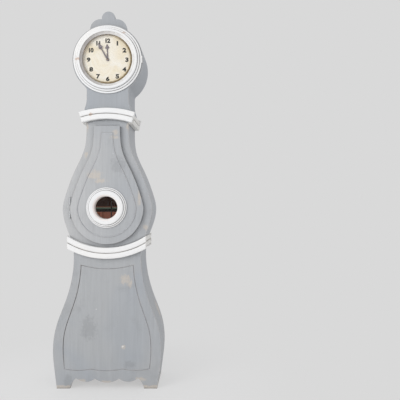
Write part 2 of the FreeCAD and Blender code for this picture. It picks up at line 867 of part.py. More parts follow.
def make_mouldings():
    case_solid = Part.makeCompound([board(face, FRONT_Y, BACK_Y)
                                    for face in (base_face(), trunk_face(), head_face())])
    mouldings = (
        ("neck", NECK_MOULDING_Z, S.neck_moulding_radius, S.neck_moulding_half_length, 1, False),
        ("waist", WAIST_MOULDING_Z, S.waist_moulding_radius, S.waist_moulding_half_length, -1, True),
    )
    for name, middle_z, radius, half_length, up, trimmed in mouldings:
        front = arched_moulding(middle_z, radius, half_length, up, trimmed)
        side_z = arch_z(half_length, middle_z, radius, up)
        right = return_moulding(side_z, half_length, case_solid)
        add_node(f"{name}_moulding_front", front)
        add_node(f"{name}_moulding_back", front.mirror(vec(0, FRONT_Y + S.case_depth / 2, 0), Y_AXIS))
        add_node(f"{name}_moulding_right", right)
        add_node(f"{name}_moulding_left", mirrored(right))


# Hinges: each place is (axis x, middle height, side), side +1 where the leaf points to +X


def hinge_places():
    door_x = -(S.belly_half_width - S.door_inset + S.knuckle_radius + S.hinge_gap)
    bezel_x = S.bezel_radius + S.hinge_gap
    upper, lower = BELLY_Z + S.hinge_spacing / 2, BELLY_Z - S.hinge_spacing / 2
    return [(door_x, lower, 1), (door_x, upper, 1), (bezel_x, HEAD_Z, -1)]


HINGE_Y = FRONT_Y - S.leaf_proud - S.knuckle_radius


def across(axis_x, side, near, far, y0, y1, z0, z1):
    """Box that runs from near to far along X, measured from the hinge axis."""
    xs = sorted(float(axis_x) + side * float(v) for v in (near, far))
    return block(xs[0], xs[1], y0, y1, z0, z1)


def fixed_mortise(axis_x, z, side):
    gap = S.mortise_clearance
    half = S.hinge_length / 2 + gap
    depth = S.leaf_thickness - S.leaf_proud
    far = S.leaf_width + S.knuckle_radius + gap
    near = -(S.knuckle_radius + gap)
    return across(axis_x, side, near, far, FRONT_Y - S.overrun, FRONT_Y + depth, z - half, z + half)


def moving_mortise(axis_x, z, side):
    gap = S.mortise_clearance
    half = S.hinge_length / 2 + gap
    plate = across(axis_x, side, -S.knuckle_radius, S.leaf_width + S.knuckle_radius + gap,
                   DOOR_BACK_Y - S.leaf_thickness, DOOR_BACK_Y + S.overrun, z - half, z + half)
    clear = S.knuckle_radius + S.hinge_gap
    barrel = rod(clear, vec(axis_x, HINGE_Y, z - half), vec(axis_x, HINGE_Y, z + half))
    return plate.fuse(barrel)


def hinge_leaf(axis_x, z, side, moving):
    """Leaf with its knuckles: the fixed leaf holds the outer two, the moving leaf the middle one."""
    knuckle_half = float(S.hinge_length) / KNUCKLES / 2
    gap = float(S.hinge_gap) / 2
    z = float(z)
    half = float(S.hinge_length) / 2
    spans = [(z - knuckle_half + gap, z + knuckle_half - gap)] if moving else [
        (z - half, z - knuckle_half - gap), (z + knuckle_half + gap, z + half)]
    if moving:
        back = DOOR_BACK_Y
        front = DOOR_BACK_Y - S.leaf_thickness
    else:
        front = FRONT_Y - S.leaf_proud
        back = front + S.leaf_thickness
    near = S.knuckle_radius + S.hinge_gap
    far = S.knuckle_radius + S.leaf_width
    leaf = across(axis_x, side, near, far, front, back, z - half, z + half)
    tab_front = front if moving else front - S.leaf_tab_rise
    for low, high in spans:
        leaf = leaf.fuse(across(axis_x, side, ZERO, near + S.knuckle_radius if moving else near,
                                tab_front, back, low, high))
        leaf = leaf.fuse(rod(S.knuckle_radius, vec(axis_x, HINGE_Y, low), vec(axis_x, HINGE_Y, high)))
    bore = S.hinge_pin_radius + S.pin_clearance
    reach = S.overrun
    hole = rod(bore, vec(axis_x, HINGE_Y, z - half - reach), vec(axis_x, HINGE_Y, z + half + reach))
    return leaf.cut(hole).removeSplitter()


def hinge_pin(axis_x, z):
    half = float(S.hinge_length) / 2
    head = float(S.leaf_thickness)
    low, high = float(z) - half - head, float(z) + half
    pin = rod(S.hinge_pin_radius, vec(axis_x, HINGE_Y, low), vec(axis_x, HINGE_Y, high + head))
    caps = [rod(S.knuckle_radius * PIN_HEAD_SHARE, vec(axis_x, HINGE_Y, z), vec(axis_x, HINGE_Y, z + head))
            for z in (low, high)]
    return pin.multiFuse(caps)


def make_hinges():
    places = hinge_places()
    door, bezel = places[:2], places[2:]
    for name, group in (("door", door), ("bezel", bezel)):
        fixed = [hinge_leaf(*place, False) for place in group]
        moving = [hinge_leaf(*place, True) for place in group]
        pins = [hinge_pin(place[0], place[1]) for place in group]
        add_node(f"{name}_hinge_fixed_leaf", Part.makeCompound(fixed))
        add_node(f"{name}_hinge_moving_leaf", Part.makeCompound(moving))
        add_node(f"{name}_hinge_pin", Part.makeCompound(pins))


# Trunk door with its window


def stepped_rim(radius, base, steps, width, rise):
    """Section points of a turned rim that steps in and up, with a chamfer on each step."""
    points = [(radius, base)]
    for step in range(steps):
        edge = radius - width * step
        top = base + rise * (step + 1)
        points.append((edge, top - S.bead_chamfer))
        points.append((edge - S.bead_chamfer, top))
        points.append((edge - width, top))
    return points


def make_door():
    top = BELLY_Z + S.door_top_rise
    front_y = DOOR_BACK_Y - S.door_thickness
    panel = board(pear_face(S.door_inset, top), front_y, DOOR_BACK_Y)
    field = pear_face(S.door_inset + S.field_inset, top - S.field_inset)
    panel = panel.fuse(board(field, front_y - S.field_rise, front_y))
    hole = rod(S.window_hole_radius, vec(0, FRONT_Y - S.case_depth, BELLY_Z), vec(0, FRONT_Y, BELLY_Z))
    cuts = [hole] + [moving_mortise(*place) for place in hinge_places()[:2]]
    add_node("door_panel", panel.cut(Part.makeCompound(cuts)).removeSplitter())


def make_window():
    """Turned ring over the raised field, with a spigot through the door that holds the glass."""
    seat = S.door_gap + S.door_thickness + S.field_rise
    back = S.door_gap + S.glass_clearance
    spigot = S.window_hole_radius - S.glass_clearance
    rebate = S.window_glass_radius + S.glass_clearance
    glass_front = seat - S.retainer_thickness
    sight, crest, inner_crest = S.window_sight_radius, S.window_crest_radius, S.window_inner_crest_radius
    top = seat + S.window_ring_height
    step = S.ring_wall_step
    body = new_body("window_ring", ZERO, FRONT_Y, BELLY_Z, FACING)
    rim = stepped_rim(S.window_ring_radius, seat, 2, S.window_bead_width, S.window_bead_rise)
    turn(body, [(rebate, back), (spigot, back), (spigot, seat)] + rim + [
        (crest, top, "x", crest, 1),
        (inner_crest, top - step, "x", crest, 1),
        (sight, seat + step),
        (sight, glass_front),
        (rebate, glass_front),
    ])
    glass = new_body("window_glass", ZERO, FRONT_Y - glass_front + S.glass_thickness, BELLY_Z)
    pad(glass, S.glass_thickness, circles=[(0, 0, S.window_glass_radius)])
    keeper = new_body("window_glass_retainer", ZERO,
                      FRONT_Y - glass_front + S.glass_thickness + S.retainer_thickness, BELLY_Z)
    pad(keeper, S.retainer_thickness, circles=[(0, 0, S.window_glass_radius), (0, 0, sight)])


# Bezel door and dial


def make_bezel():
    """Turned ring with beads at its rim, a broad round and a sloping wall down to the glass."""
    back = S.door_gap
    sight, front, crest = S.bezel_sight_radius, S.bezel_front_radius, S.bezel_crest_radius
    rebate = S.bezel_glass_radius + S.glass_clearance
    top = back + S.bezel_height
    lip = back + S.bezel_lip_depth
    step = S.ring_wall_step
    body = new_body("bezel_ring", ZERO, FRONT_Y, HEAD_Z, FACING)
    rim = stepped_rim(S.bezel_radius, back, 3, S.bezel_bead_width, S.bezel_bead_rise)
    turn(body, [(rebate, back)] + rim + [
        (crest, top, "x", crest, 1),
        (front, top - step, "x", crest, 1),
        (sight, lip + step),
        (sight, lip),
        (rebate, lip),
    ])
    axis_x, _, _ = hinge_places()[2]
    half = S.hinge_length / 2 + S.leaf_thickness + S.mortise_clearance
    clear = S.knuckle_radius + S.hinge_gap
    # notch for the knuckles and a shallow bed for the leaf, seen in the turned-round body
    pocket(body, S.overrun * 2, [box_outline(-(axis_x + clear), clear - axis_x, -half, half)],
           middle=True)
    bed = S.leaf_width + S.knuckle_radius + S.mortise_clearance
    pocket(body, half * 2, [box_outline(-axis_x, bed - axis_x, ZERO, back + S.leaf_thickness)],
           role="XY_Plane", middle=True)
    glass = new_body("bezel_glass", ZERO, FRONT_Y - lip + S.glass_thickness, HEAD_Z)
    pad(glass, S.glass_thickness, circles=[(0, 0, S.bezel_glass_radius)])
    keeper = new_body("bezel_glass_retainer", ZERO,
                      FRONT_Y - lip + S.glass_thickness + S.retainer_thickness, HEAD_Z)
    pad(keeper, S.retainer_thickness, circles=[(0, 0, S.bezel_glass_radius), (0, 0, sight)])


def make_dial():
    """Thin round plate on four feet that stand on the movement's front plate."""
    body = new_body("dial_plate", ZERO, DIAL_BACK_Y, HEAD_Z)
    pad(body, S.dial_thickness, circles=[(0, 0, S.dial_radius), (0, 0, S.dial_hole_radius)])
    foot = S.plate_half_width - S.pillar_inset / 2
    rise = S.plate_half_width
    feet = [(x, z, S.pillar_radius / 2) for x in (-foot, foot) for z in (-rise, rise)]
    pad(body, S.motion_work_space, circles=feet, backwards=True)


# Hands: each points up in its own body, and the body is turned to the time shown

HOURS_SHOWN = 11
MINUTES_SHOWN = 55
DEGREES_A_MINUTE = 6
DEGREES_AN_HOUR = 30


def make_hand(label, back_y, length, tip_width, boss, bore, angle):
    """Tapered shaft with a leaf-shaped arrow at its tip and a round boss."""
    rotation = FreeCAD.Rotation(Y_AXIS, angle)
    body = new_body(label, ZERO, back_y, HEAD_Z, rotation)
    root, shaft, wing = S.hand_root_width / 2, S.hand_shaft_width / 2, tip_width / 2
    tip_foot = length - S.hand_tip_length
    pad(body, S.hand_thickness, [[
        (-root, ZERO),
        (root, ZERO),
        (shaft, tip_foot),
        (wing, tip_foot),
        (ZERO, length, "y", tip_foot, 1),
        (-wing, tip_foot, "y", tip_foot, 1),
        (-shaft, tip_foot),
    ]])
    pad(body, S.hand_thickness, circles=[(0, 0, boss)])
    pocket(body, S.overrun, circles=[(0, 0, bore)], middle=True)


def make_hands():
    hour_back = DIAL_FRONT_Y - S.hand_spacing
    minute_back = hour_back - S.hand_thickness - S.hand_spacing
    hour_angle = (HOURS_SHOWN + MINUTES_SHOWN / 60) * DEGREES_AN_HOUR
    minute_angle = MINUTES_SHOWN * DEGREES_A_MINUTE
    clear = S.arbor_clearance
    make_hand("hour_hand", hour_back, S.hour_hand_length, S.hour_tip_width,
              S.hand_boss_radius, S.hour_pipe_radius + clear, hour_angle)
    make_hand("minute_hand", minute_back, S.minute_hand_length, S.minute_tip_width,
              S.hand_boss_radius * MINUTE_BOSS_SHARE, S.cannon_radius + clear, minute_angle)
    nut = new_body("hand_nut", ZERO, minute_back - S.hand_thickness, HEAD_Z, FACING)
    turn(nut, [
        (S.arbor_radius + clear, ZERO),
        (S.hand_boss_radius * SMALL_NUT_SHARE, ZERO),
        (S.hand_boss_radius * SMALL_NUT_SHARE, S.hand_thickness),
        (S.arbor_radius + clear, S.hand_thickness * 2, "x", ZERO, 1),
    ])


# Wheels


def tooth_ring(teeth, module, base_share, tip_share, rise_share, phase):
    """Wheel outline in the plane y = 0: tapered teeth, their width as shares of the pitch."""
    root, tip = root_radius(teeth, module), teeth * module / 2 + rise_share * module
    step = 2 * math.pi / teeth
    points = []
    for tooth in range(teeth):
        middle = step * (tooth + phase)
        corners = ((root, -base_share), (tip, -tip_share), (tip, tip_share), (root, base_share))
        for radius, share in corners:
            angle = middle + share * step / 2
            points.append(vec(radius * math.sin(angle), 0, radius * math.cos(angle)))
    return Part.Face(Part.makePolygon(points + points[:1]))


def root_radius(teeth, module):
    return teeth * float(module) / 2 - TOOTH_FALL_SHARE * float(module)


def wheel_disc(outline, root, hub_radius, thickness):
    """Wheel with its rim, arms and hub, starting at y = 0 and going back."""
    disc = outline.extrude(vec(0, thickness, 0))
    rim = root * RIM_SHARE
    arm = root * ARM_SHARE
    if rim - hub_radius < arm * 4:
        return disc
    ring = rod(rim, vec(0, 0, 0), vec(0, thickness, 0)).cut(
        rod(hub_radius, vec(0, 0, 0), vec(0, thickness, 0)))
    for index in range(WHEEL_ARMS // 2):
        spoke = block(-arm, arm, 0, thickness, -rim, rim)
        spoke.rotate(vec(0, 0, 0), Y_AXIS, index * 360 / WHEEL_ARMS)
        ring = ring.cut(spoke)
    return disc.cut(ring)


def wheel_teeth(teeth, module, phase=0.0):
    return tooth_ring(teeth, float(module), WHEEL_BASE_SHARE, WHEEL_TIP_SHARE, WHEEL_RISE_SHARE, phase)


def pinion_teeth(teeth, module, phase=0.0):
    return tooth_ring(teeth, float(module), LEAF_BASE_SHARE, LEAF_TIP_SHARE, LEAF_RISE_SHARE, phase)


def at_depth(shape, y):
    moved = shape.copy()
    moved.translate(vec(0, y, 0))
    return moved


def stepped_arbor(front_end, front_shoulder, back_shoulder, back_end):
    """Arbor with a thinner pivot at each end, along Y at x = z = 0."""
    body = rod(S.arbor_radius, vec(0, front_shoulder, 0), vec(0, back_shoulder, 0))
    pivot = rod(S.pivot_radius, vec(0, front_end, 0), vec(0, back_end, 0))
    return body.fuse(pivot)


def train_arbor():
    end_shake = S.hinge_gap
    return stepped_arbor(FRONT_PLATE_Y, TRAIN_Y + end_shake, BACK_PLATE_Y - end_shake,
                         BACK_PLATE_BACK_Y)


def place_at(shape, z):
    moved = shape.copy()
    moved.translate(vec(0, 0, z))
    return moved


def wheel_on_arbor(arbor, teeth, module, wheel_y, pinion=None, pinion_y=None):
    """A train wheel: toothed wheel and, where it is driven, its pinion on one arbor."""
    wheel = wheel_disc(wheel_teeth(teeth, module), root_radius(teeth, module), S.arbor_radius.number * HUB_SHARE,
                       S.wheel_thickness)
    parts = [at_depth(wheel, wheel_y)]
    if pinion:
        parts.append(at_depth(pinion.extrude(vec(0, S.pinion_length, 0)), pinion_y))
    return arbor.multiFuse(parts).removeSplitter()


def driven_pinion(module):
    """Pinion turned so that a gap between its leaves points down, at the wheel that drives it."""
    return pinion_teeth(PINION_LEAVES, module, 0.5 + PINION_LEAVES / 2)


def make_train():
    """Great, centre, third and escape wheels, one above another between the plates."""
    great_y = TRAIN_Y + S.pinion_length
    third_y = TRAIN_Y + S.plate_spacing * THIRD_WHEEL_SHARE
    centre_y = BACK_PLATE_Y - S.pinion_length - S.wheel_thickness
    escape_y = BACK_PLATE_Y - S.pinion_length / 2 - S.wheel_thickness
    half = (S.pinion_length - S.wheel_thickness) / 2

    great = wheel_on_arbor(train_arbor(), GREAT_TEETH, S.great_wheel_module, great_y)
    add_node("great_wheel", place_at(great, GREAT_Z))

    hour_side = DIAL_FRONT_Y - S.hand_spacing - S.hand_thickness
    nut_front = hour_side - S.hand_spacing - S.hand_thickness * HAND_NUT_SHARE
    long_arbor = stepped_arbor(nut_front, nut_front, BACK_PLATE_Y - S.hinge_gap, BACK_PLATE_BACK_Y)
    centre = wheel_on_arbor(long_arbor, CENTRE_TEETH, S.centre_wheel_module, centre_y,
                            driven_pinion(S.great_wheel_module), great_y - half)
    add_node("centre_wheel", place_at(centre, HEAD_Z))

    third = wheel_on_arbor(train_arbor(), THIRD_TEETH, S.third_wheel_module, third_y,
                           driven_pinion(S.centre_wheel_module), centre_y - half)
    add_node("third_wheel", place_at(third, THIRD_Z))

    escape_pinion = driven_pinion(S.third_wheel_module).extrude(vec(0, S.pinion_length, 0))
    arbor = train_arbor().multiFuse([
        at_depth(escape_disc(), escape_y),
        at_depth(escape_pinion, third_y - half),
    ]).removeSplitter()
    add_node("escape_wheel", place_at(arbor, ESCAPE_Z))
    return escape_y


def escape_disc():
    """Escape wheel: slim pointed teeth, undercut on one side."""
    tip = float(S.escape_radius)
    root = tip * ESCAPE_ROOT_SHARE
    half_tip = ESCAPE_WIDTH_SHARE / 4
    step = 2 * math.pi / ESCAPE_TEETH
    points = []
    for tooth in range(ESCAPE_TEETH):
        middle = step * (tooth + ESCAPE_TURN_SHARE)
        for radius, share in ((root, -ESCAPE_LEAN_SHARE), (tip, -half_tip),
                              (tip, half_tip), (root, ESCAPE_WIDTH_SHARE)):
            angle = middle + share * step
            points.append(vec(radius * math.sin(angle), 0, radius * math.cos(angle)))
    outline = Part.Face(Part.makePolygon(points + points[:1]))
    return wheel_disc(outline, root, float(S.arbor_radius) * ESCAPE_HUB_SHARE, S.wheel_thickness / 2)


def make_motion_work():
    """Cannon pinion and hour wheel on the centre line, minute wheel on a stud beside them."""
    clear = S.pipe_clearance
    module = S.motion_module
    cannon_length = S.wheel_thickness * CANNON_LENGTH_SHARE
    cannon_y = FRONT_PLATE_Y - S.hinge_gap * 2 - cannon_length
    hour_y = cannon_y - S.wheel_thickness * HOUR_WHEEL_SHARE
    hour_back = DIAL_FRONT_Y - S.hand_spacing
    minute_back = hour_back - S.hand_thickness - S.hand_spacing

    cannon = pinion_teeth(CANNON_TEETH, module).extrude(vec(0, cannon_length, 0))
    pipe = rod(S.cannon_radius, vec(0, minute_back - S.hand_thickness, 0), vec(0, cannon_y + clear, 0))
    bore = rod(S.arbor_radius + clear, vec(0, FRONT_Y - S.case_depth, 0), vec(0, BACK_Y, 0))
    cannon = at_depth(cannon, cannon_y).fuse(pipe).cut(bore)
    add_node("cannon_pinion", place_at(cannon, HEAD_Z))

    spread = (CANNON_TEETH + MINUTE_TEETH) / 2 * float(module)
    stud_x, stud_z = spread * math.sin(math.pi / 4), spread * math.cos(math.pi / 4)
    # a tooth of the driving wheel points at the stud, a gap of the driven one points back
    toward = 1 / 8
    hour_phase = toward * HOUR_TEETH
    hour = wheel_teeth(HOUR_TEETH, module, hour_phase).extrude(vec(0, S.wheel_thickness, 0))
    hour_pipe = rod(S.hour_pipe_radius, vec(0, hour_back - S.hand_thickness, 0), vec(0, hour_y + clear, 0))
    hour_bore = rod(S.cannon_radius + clear, vec(0, FRONT_Y - S.case_depth, 0), vec(0, BACK_Y, 0))
    hour = at_depth(hour, hour_y).fuse(hour_pipe).cut(hour_bore)
    add_node("hour_wheel", place_at(hour, HEAD_Z))

    back = toward + 0.5
    minute_phase = back * MINUTE_TEETH + 0.5 + toward * CANNON_TEETH % 1
    leaf_phase = back * MINUTE_PINION_LEAVES + 0.5
    minute = wheel_teeth(MINUTE_TEETH, module, minute_phase).extrude(vec(0, S.wheel_thickness, 0))
    leaves = pinion_teeth(MINUTE_PINION_LEAVES, module, leaf_phase)
    lift = cannon_y + S.wheel_thickness * MINUTE_WHEEL_SHARE
    tall = S.wheel_thickness * MINUTE_LEAF_SHARE
    leaves = leaves.extrude(vec(0, tall, 0))
    stud_bore = rod(S.pivot_radius + S.arbor_clearance, vec(0, FRONT_Y - S.case_depth, 0),
                    vec(0, BACK_Y, 0))
    minute = at_depth(minute, lift).fuse(at_depth(leaves, lift - tall)).cut(stud_bore)
    minute.translate(vec(stud_x, 0, HEAD_Z.number + stud_z))
    add_node("minute_wheel", minute)

    stud_front = lift - tall - S.hinge_gap
    stud = rod(S.pivot_radius, vec(stud_x, stud_front, stud_z), vec(stud_x, FRONT_PLATE_Y, stud_z))
    foot = rod(S.pivot_radius * 2, vec(stud_x, FRONT_PLATE_Y - S.hinge_gap, stud_z),
               vec(stud_x, FRONT_PLATE_Y, stud_z))
    add_node("minute_wheel_stud", place_at(stud.fuse(foot), HEAD_Z))


# Plates, pillars, seat board


def make_frame():
    half = S.plate_half_width
    low, high = SEAT_TOP_Z - HEAD_Z, PLATE_TOP_Z - HEAD_Z
    outline = [box_outline(-half, half, low, high)]
    pivot_hole = S.pivot_radius + S.arbor_clearance
    heights = [GREAT_Z - HEAD_Z, THIRD_Z - HEAD_Z, ESCAPE_Z - HEAD_Z, PIVOT_Z - HEAD_Z]
    holes = [(0, z, pivot_hole) for z in heights]
    front = new_body("movement_front_plate", ZERO, FRONT_PLATE_Y + S.plate_thickness, HEAD_Z)
    pad(front, S.plate_thickness, outline, holes + [(0, 0, S.arbor_radius + S.arbor_clearance)])
    back = new_body("movement_back_plate", ZERO, BACK_PLATE_Y + S.plate_thickness, HEAD_Z)
    pad(back, S.plate_thickness, outline, holes + [(0, 0, pivot_hole)])
    inset = S.pillar_inset
    pillars = []
    for x in (-(half - inset), half - inset):
        for z in (SEAT_TOP_Z + inset, PLATE_TOP_Z - inset):
            pillars.append(pillar(x, z))
    add_node("movement_pillars", Part.makeCompound(pillars))


def pillar(x, z):
    """Turned pillar between the plates, with a collar at each end."""
    length = float(S.plate_spacing)
    radius = float(S.pillar_radius)
    collar, waist = radius * COLLAR_SHARE, radius * PILLAR_WAIST_SHARE
    radii = (collar, collar, waist, waist, collar, collar)
    points = [vec(0, 0, 0)] + [vec(r, length * share, 0) for r, share in zip(radii, PILLAR_SHARES)]
    points.append(vec(0, length, 0))
    face = Part.Face(Part.makePolygon(points + points[:1]))
    solid = face.revolve(vec(0, 0, 0), Y_AXIS, 360)
    solid.translate(vec(x, TRAIN_Y, z))
    return solid


def make_seat_board():
    """Board under the movement, slotted for the pendulum."""
    front = FRONT_INNER_Y + S.board_clearance
    body = new_body("seat_board", ZERO, ZERO, SEAT_TOP_Z - S.seat_thickness)
    half = S.seat_half_width
    slot_half, slot_deep = S.plate_half_width / 2, S.rod_radius * 3
    pad(body, S.seat_thickness,
        [box_outline(-half, half, front, front + S.seat_depth),
         box_outline(-slot_half, slot_half, PENDULUM_Y - slot_deep, PENDULUM_Y + slot_deep)],
        role="XY_Plane")
    inner = S.throat_half_width - S.side_board
    boxes = []
    for label, x in (("left", -inner), ("right", inner - S.cleat_width)):
        cleat = doc.addObject("Part::Box", f"cleat_{label}")
        cleat.setExpression("Length", S.cleat_width.text)
        cleat.setExpression("Width", S.seat_depth.text)
        cleat.setExpression("Height", S.cleat_height.text)
        put(cleat, x, front, SEAT_TOP_Z - S.seat_thickness - S.cleat_height)
        boxes.append(cleat)
    group = doc.addObject("Part::Compound", "seat_board_cleats")
    group.Links = boxes
    NODES.append(group)


def make_bottom_and_batten():
    """Floor of the base, and the batten across the inside of the trunk's back."""
    low = float(S.bottom_board_height)
    high = low + float(S.bottom_board_thickness)
    points = inner_points(BASE_CURVE, low, high, S.side_board, 2)
    half = min(x for x, _ in points) - float(S.board_clearance)
    bottom = doc.addObject("Part::Box", "bottom_board")
    bottom.Length = half * 2
    depth = S.case_depth - S.front_board - S.back_board - S.board_clearance * 2
    bottom.setExpression("Width", depth.text)
    bottom.setExpression("Height", S.bottom_board_thickness.text)
    put(bottom, as_size(-half), FRONT_INNER_Y + S.board_clearance, S.bottom_board_height)
    NODES.append(bottom)
    reach = S.belly_half_width - S.side_board * 2
    batten = doc.addObject("Part::Box", "back_batten")
    batten.setExpression("Length", (reach * 2).text)
    batten.setExpression("Width", S.batten_thickness.text)
    batten.setExpression("Height", S.batten_height.text)
    put(batten, -reach, BACK_INNER_Y - S.batten_thickness, BELLY_Z - S.batten_height)
    NODES.append(batten)


# Pendulum, anchor and cock


def anchor_face():
    """Anchor in the plane y = 0 about its own pivot, its pallets clear of the teeth as it swings."""
    reach = float(S.escape_radius)
    arm_x = reach * math.sin(math.radians(PALLET_SPAN_DEGREES))
    clear = reach * (1 + math.radians(PENDULUM_SWING_DEGREES)) + float(S.pallet_clearance)
    pivot_rise = float(PIVOT_Z - ESCAPE_Z)
    nib, web = reach * NIB_SHARE, reach * ANCHOR_WEB_SHARE
    elbow = -(pivot_rise - arm_x) / 2

    def pallet(x):
        return x, math.sqrt(clear ** 2 - x ** 2) - pivot_rise

    outline = [(0, web), (arm_x + web, elbow + nib), pallet(arm_x + nib * 2), pallet(arm_x - nib),
               (arm_x - web, elbow - nib), (0, -web)]
    left = [(-x, z) for x, z in reversed(outline[1:-1])]
    points = [vec(x, 0, z) for x, z in outline + left]
    return Part.Face(Part.makePolygon(points + points[:1]))


def make_anchor(escape_y):
    """Anchor over the escape wheel, on an arbor with the crutch behind the back plate."""
    anchor = anchor_face().extrude(vec(0, S.wheel_thickness / 2, 0))
    end = BACK_PLATE_BACK_Y + S.pinion_length
    arbor = stepped_arbor(FRONT_PLATE_Y, TRAIN_Y + S.hinge_gap, BACK_PLATE_Y - S.hinge_gap, end)
    crutch_y = BACK_PLATE_BACK_Y + S.pinion_length / 2
    low = float(-S.crutch_length)
    wire = rod(S.pivot_radius, vec(0, crutch_y, 0), vec(0, crutch_y, low))
    inner = float(S.rod_radius) + float(S.fork_clearance)
    outer = inner + float(S.pivot_radius) * 2
    fork_back = PENDULUM_Y + S.rod_radius
    thick = float(S.pivot_radius)
    bar = block(-outer, outer, crutch_y - thick, crutch_y + thick, low - thick, low + thick)
    tines = [block(a, b, crutch_y, fork_back, low - thick, low + thick)
             for a, b in ((-outer, -inner), (inner, outer))]
    solid = arbor.multiFuse([at_depth(anchor, escape_y + S.wheel_thickness / 8), wire, bar] + tines)
    add_node("anchor_and_crutch", place_at(solid.removeSplitter(), PIVOT_Z))


def make_cock():
    """Bracket on the back plate that the pendulum's spring hangs from."""
    body = new_body("back_cock", ZERO, BACK_PLATE_BACK_Y, PIVOT_Z)
    bottom = S.pivot_radius * 2
    half = S.cock_width / 2
    top = bottom + S.cock_height
    pad(body, S.plate_thickness, [box_outline(-half, half, bottom, S.plate_margin)], backwards=True)
    arm = S.spring_width
    reach = S.pendulum_setback + S.rod_radius * 2
    pad(body, reach, [box_outline(-arm, arm, bottom, top)], backwards=True)


def make_pendulum():
    """Rod with its suspension spring, a lens bob and the rating nut that carries it."""
    top = PIVOT_Z + S.pivot_radius * 2
    spring_low = top - S.spring_length
    bob_z = PIVOT_Z - S.pendulum_length
    rod_low = bob_z - S.bob_radius - S.nut_height * ROD_END_SHARE
    spring = doc.addObject("Part::Box", "suspension_spring")
    spring.setExpression("Length", S.spring_thickness.text)
    spring.setExpression("Width", S.spring_width.text)
    spring.setExpression("Height", S.spring_length.text)
    put(spring, -(S.spring_thickness / 2), PENDULUM_Y - S.spring_width / 2, spring_low)
    wire = doc.addObject("Part::Cylinder", "pendulum_wire")
    wire.setExpression("Radius", S.rod_radius.text)
    wire.setExpression("Height", (spring_low - rod_low + S.rod_radius * 2).text)
    put(wire, ZERO, PENDULUM_Y, rod_low)
    whole = doc.addObject("Part::MultiFuse", "pendulum_rod")
    whole.Shapes = [spring, wire]
    NODES.append(whole)

    bob = new_body("pendulum_bob", ZERO, PENDULUM_Y, bob_z)
    half, shoulder, edge = S.bob_thickness / 2, S.bob_shoulder_thickness / 2, S.bob_edge_thickness / 2
    turn(bob, [
        (ZERO, -half),
        (S.bob_shoulder_radius, -shoulder),
        (S.bob_radius, -edge),
        (S.bob_radius, edge),
        (S.bob_shoulder_radius, shoulder),
        (ZERO, half),
    ])
    pocket(bob, S.bob_radius * 3, circles=[(0, 0, S.rod_radius + S.arbor_clearance)],
           role="XY_Plane", middle=True)

    nut = new_body("rating_nut", ZERO, PENDULUM_Y, bob_z - S.bob_radius - S.nut_height)
    bore = S.rod_radius + S.arbor_clearance
    waist = S.nut_radius * NUT_WAIST_SHARE
    top = S.nut_height - S.glass_clearance / 2
    turn(nut, [
        (bore, ZERO),
        (waist, ZERO),
        (S.nut_radius, S.nut_height / 4),
        (S.nut_radius, top - S.nut_height / 4),
        (waist, top),
        (bore, top),
    ], role="XZ_Plane")


def make_drum():
    """Drum on the great arbor, which its click lets turn back when the clock is wound."""
    half, flange = S.drum_width / 2, S.drum_flange
    bore = S.arbor_radius + S.arbor_clearance
    body = new_body("line_drum", ZERO, DRUM_Y, GREAT_Z)
    turn(body, [
        (bore, -half),
        (S.drum_flange_radius, -half),
        (S.drum_flange_radius, flange - half),
        (S.drum_radius, flange - half),
        (S.drum_radius, half - flange),
        (S.drum_flange_radius, half - flange),
        (S.drum_flange_radius, half),
        (bore, half),
    ])


make_boards()
make_crest()
make_mouldings()
make_hinges()
make_door()
make_window()
make_bezel()
make_dial()
make_hands()
make_motion_work()
ESCAPE_Y = make_train()
make_frame()
make_seat_board()
make_bottom_and_batten()
make_anchor(ESCAPE_Y)
make_cock()
make_pendulum()
make_drum()

# Check everything, then write one file for each piece
doc.recompute()
for item in doc.Objects:
    if "Invalid" in item.State or "Error" in item.State:
        raise ValueError(f"{item.Label} failed: {item.State}")
for node in NODES:
    if node.Shape.isNull() or not node.Shape.isValid():
        raise ValueError(f"{node.Label} has no valid shape")
os.makedirs("parts", exist_ok=True)
for node in NODES:
    node.Shape.exportStep(f"parts/{node.Label}.step")
print(f"{len(NODES)} nodes written")
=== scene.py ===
"""A painted longcase clock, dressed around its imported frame."""
import logging
import math
from dataclasses import dataclass, field
from enum import Enum
from itertools import accumulate
from typing import Callable, Iterable, Mapping, Optional, Sequence, Union

import bmesh
import bpy
from mathutils import Matrix, Vector


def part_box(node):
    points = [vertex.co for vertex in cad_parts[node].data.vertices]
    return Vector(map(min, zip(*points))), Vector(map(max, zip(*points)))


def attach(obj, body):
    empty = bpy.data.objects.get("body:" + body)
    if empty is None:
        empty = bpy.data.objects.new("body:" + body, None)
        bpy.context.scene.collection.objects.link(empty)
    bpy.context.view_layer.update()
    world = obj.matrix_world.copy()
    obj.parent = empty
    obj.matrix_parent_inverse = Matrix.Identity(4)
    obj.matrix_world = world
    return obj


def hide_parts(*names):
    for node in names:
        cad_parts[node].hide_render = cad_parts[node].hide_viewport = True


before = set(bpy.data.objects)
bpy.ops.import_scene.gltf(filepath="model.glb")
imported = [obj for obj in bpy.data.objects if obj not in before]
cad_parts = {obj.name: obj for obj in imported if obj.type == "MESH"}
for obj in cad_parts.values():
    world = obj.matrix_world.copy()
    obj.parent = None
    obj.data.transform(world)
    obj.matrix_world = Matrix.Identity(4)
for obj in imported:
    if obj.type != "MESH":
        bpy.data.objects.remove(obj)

LOG = logging.getLogger("longcase_clock")
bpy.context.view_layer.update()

MM = 0.001
# points closer than this are one point
WELD = 1e-6
Triple = tuple[float, float, float]
Colour = Triple
Point = tuple[float, float]
Socket = bpy.types.NodeSocket
Value = Union[float, Colour, Vector, Socket]
Inputs = Mapping[Union[str, int], Value]
FaceRule = Callable[[bpy.types.MeshPolygon], int]


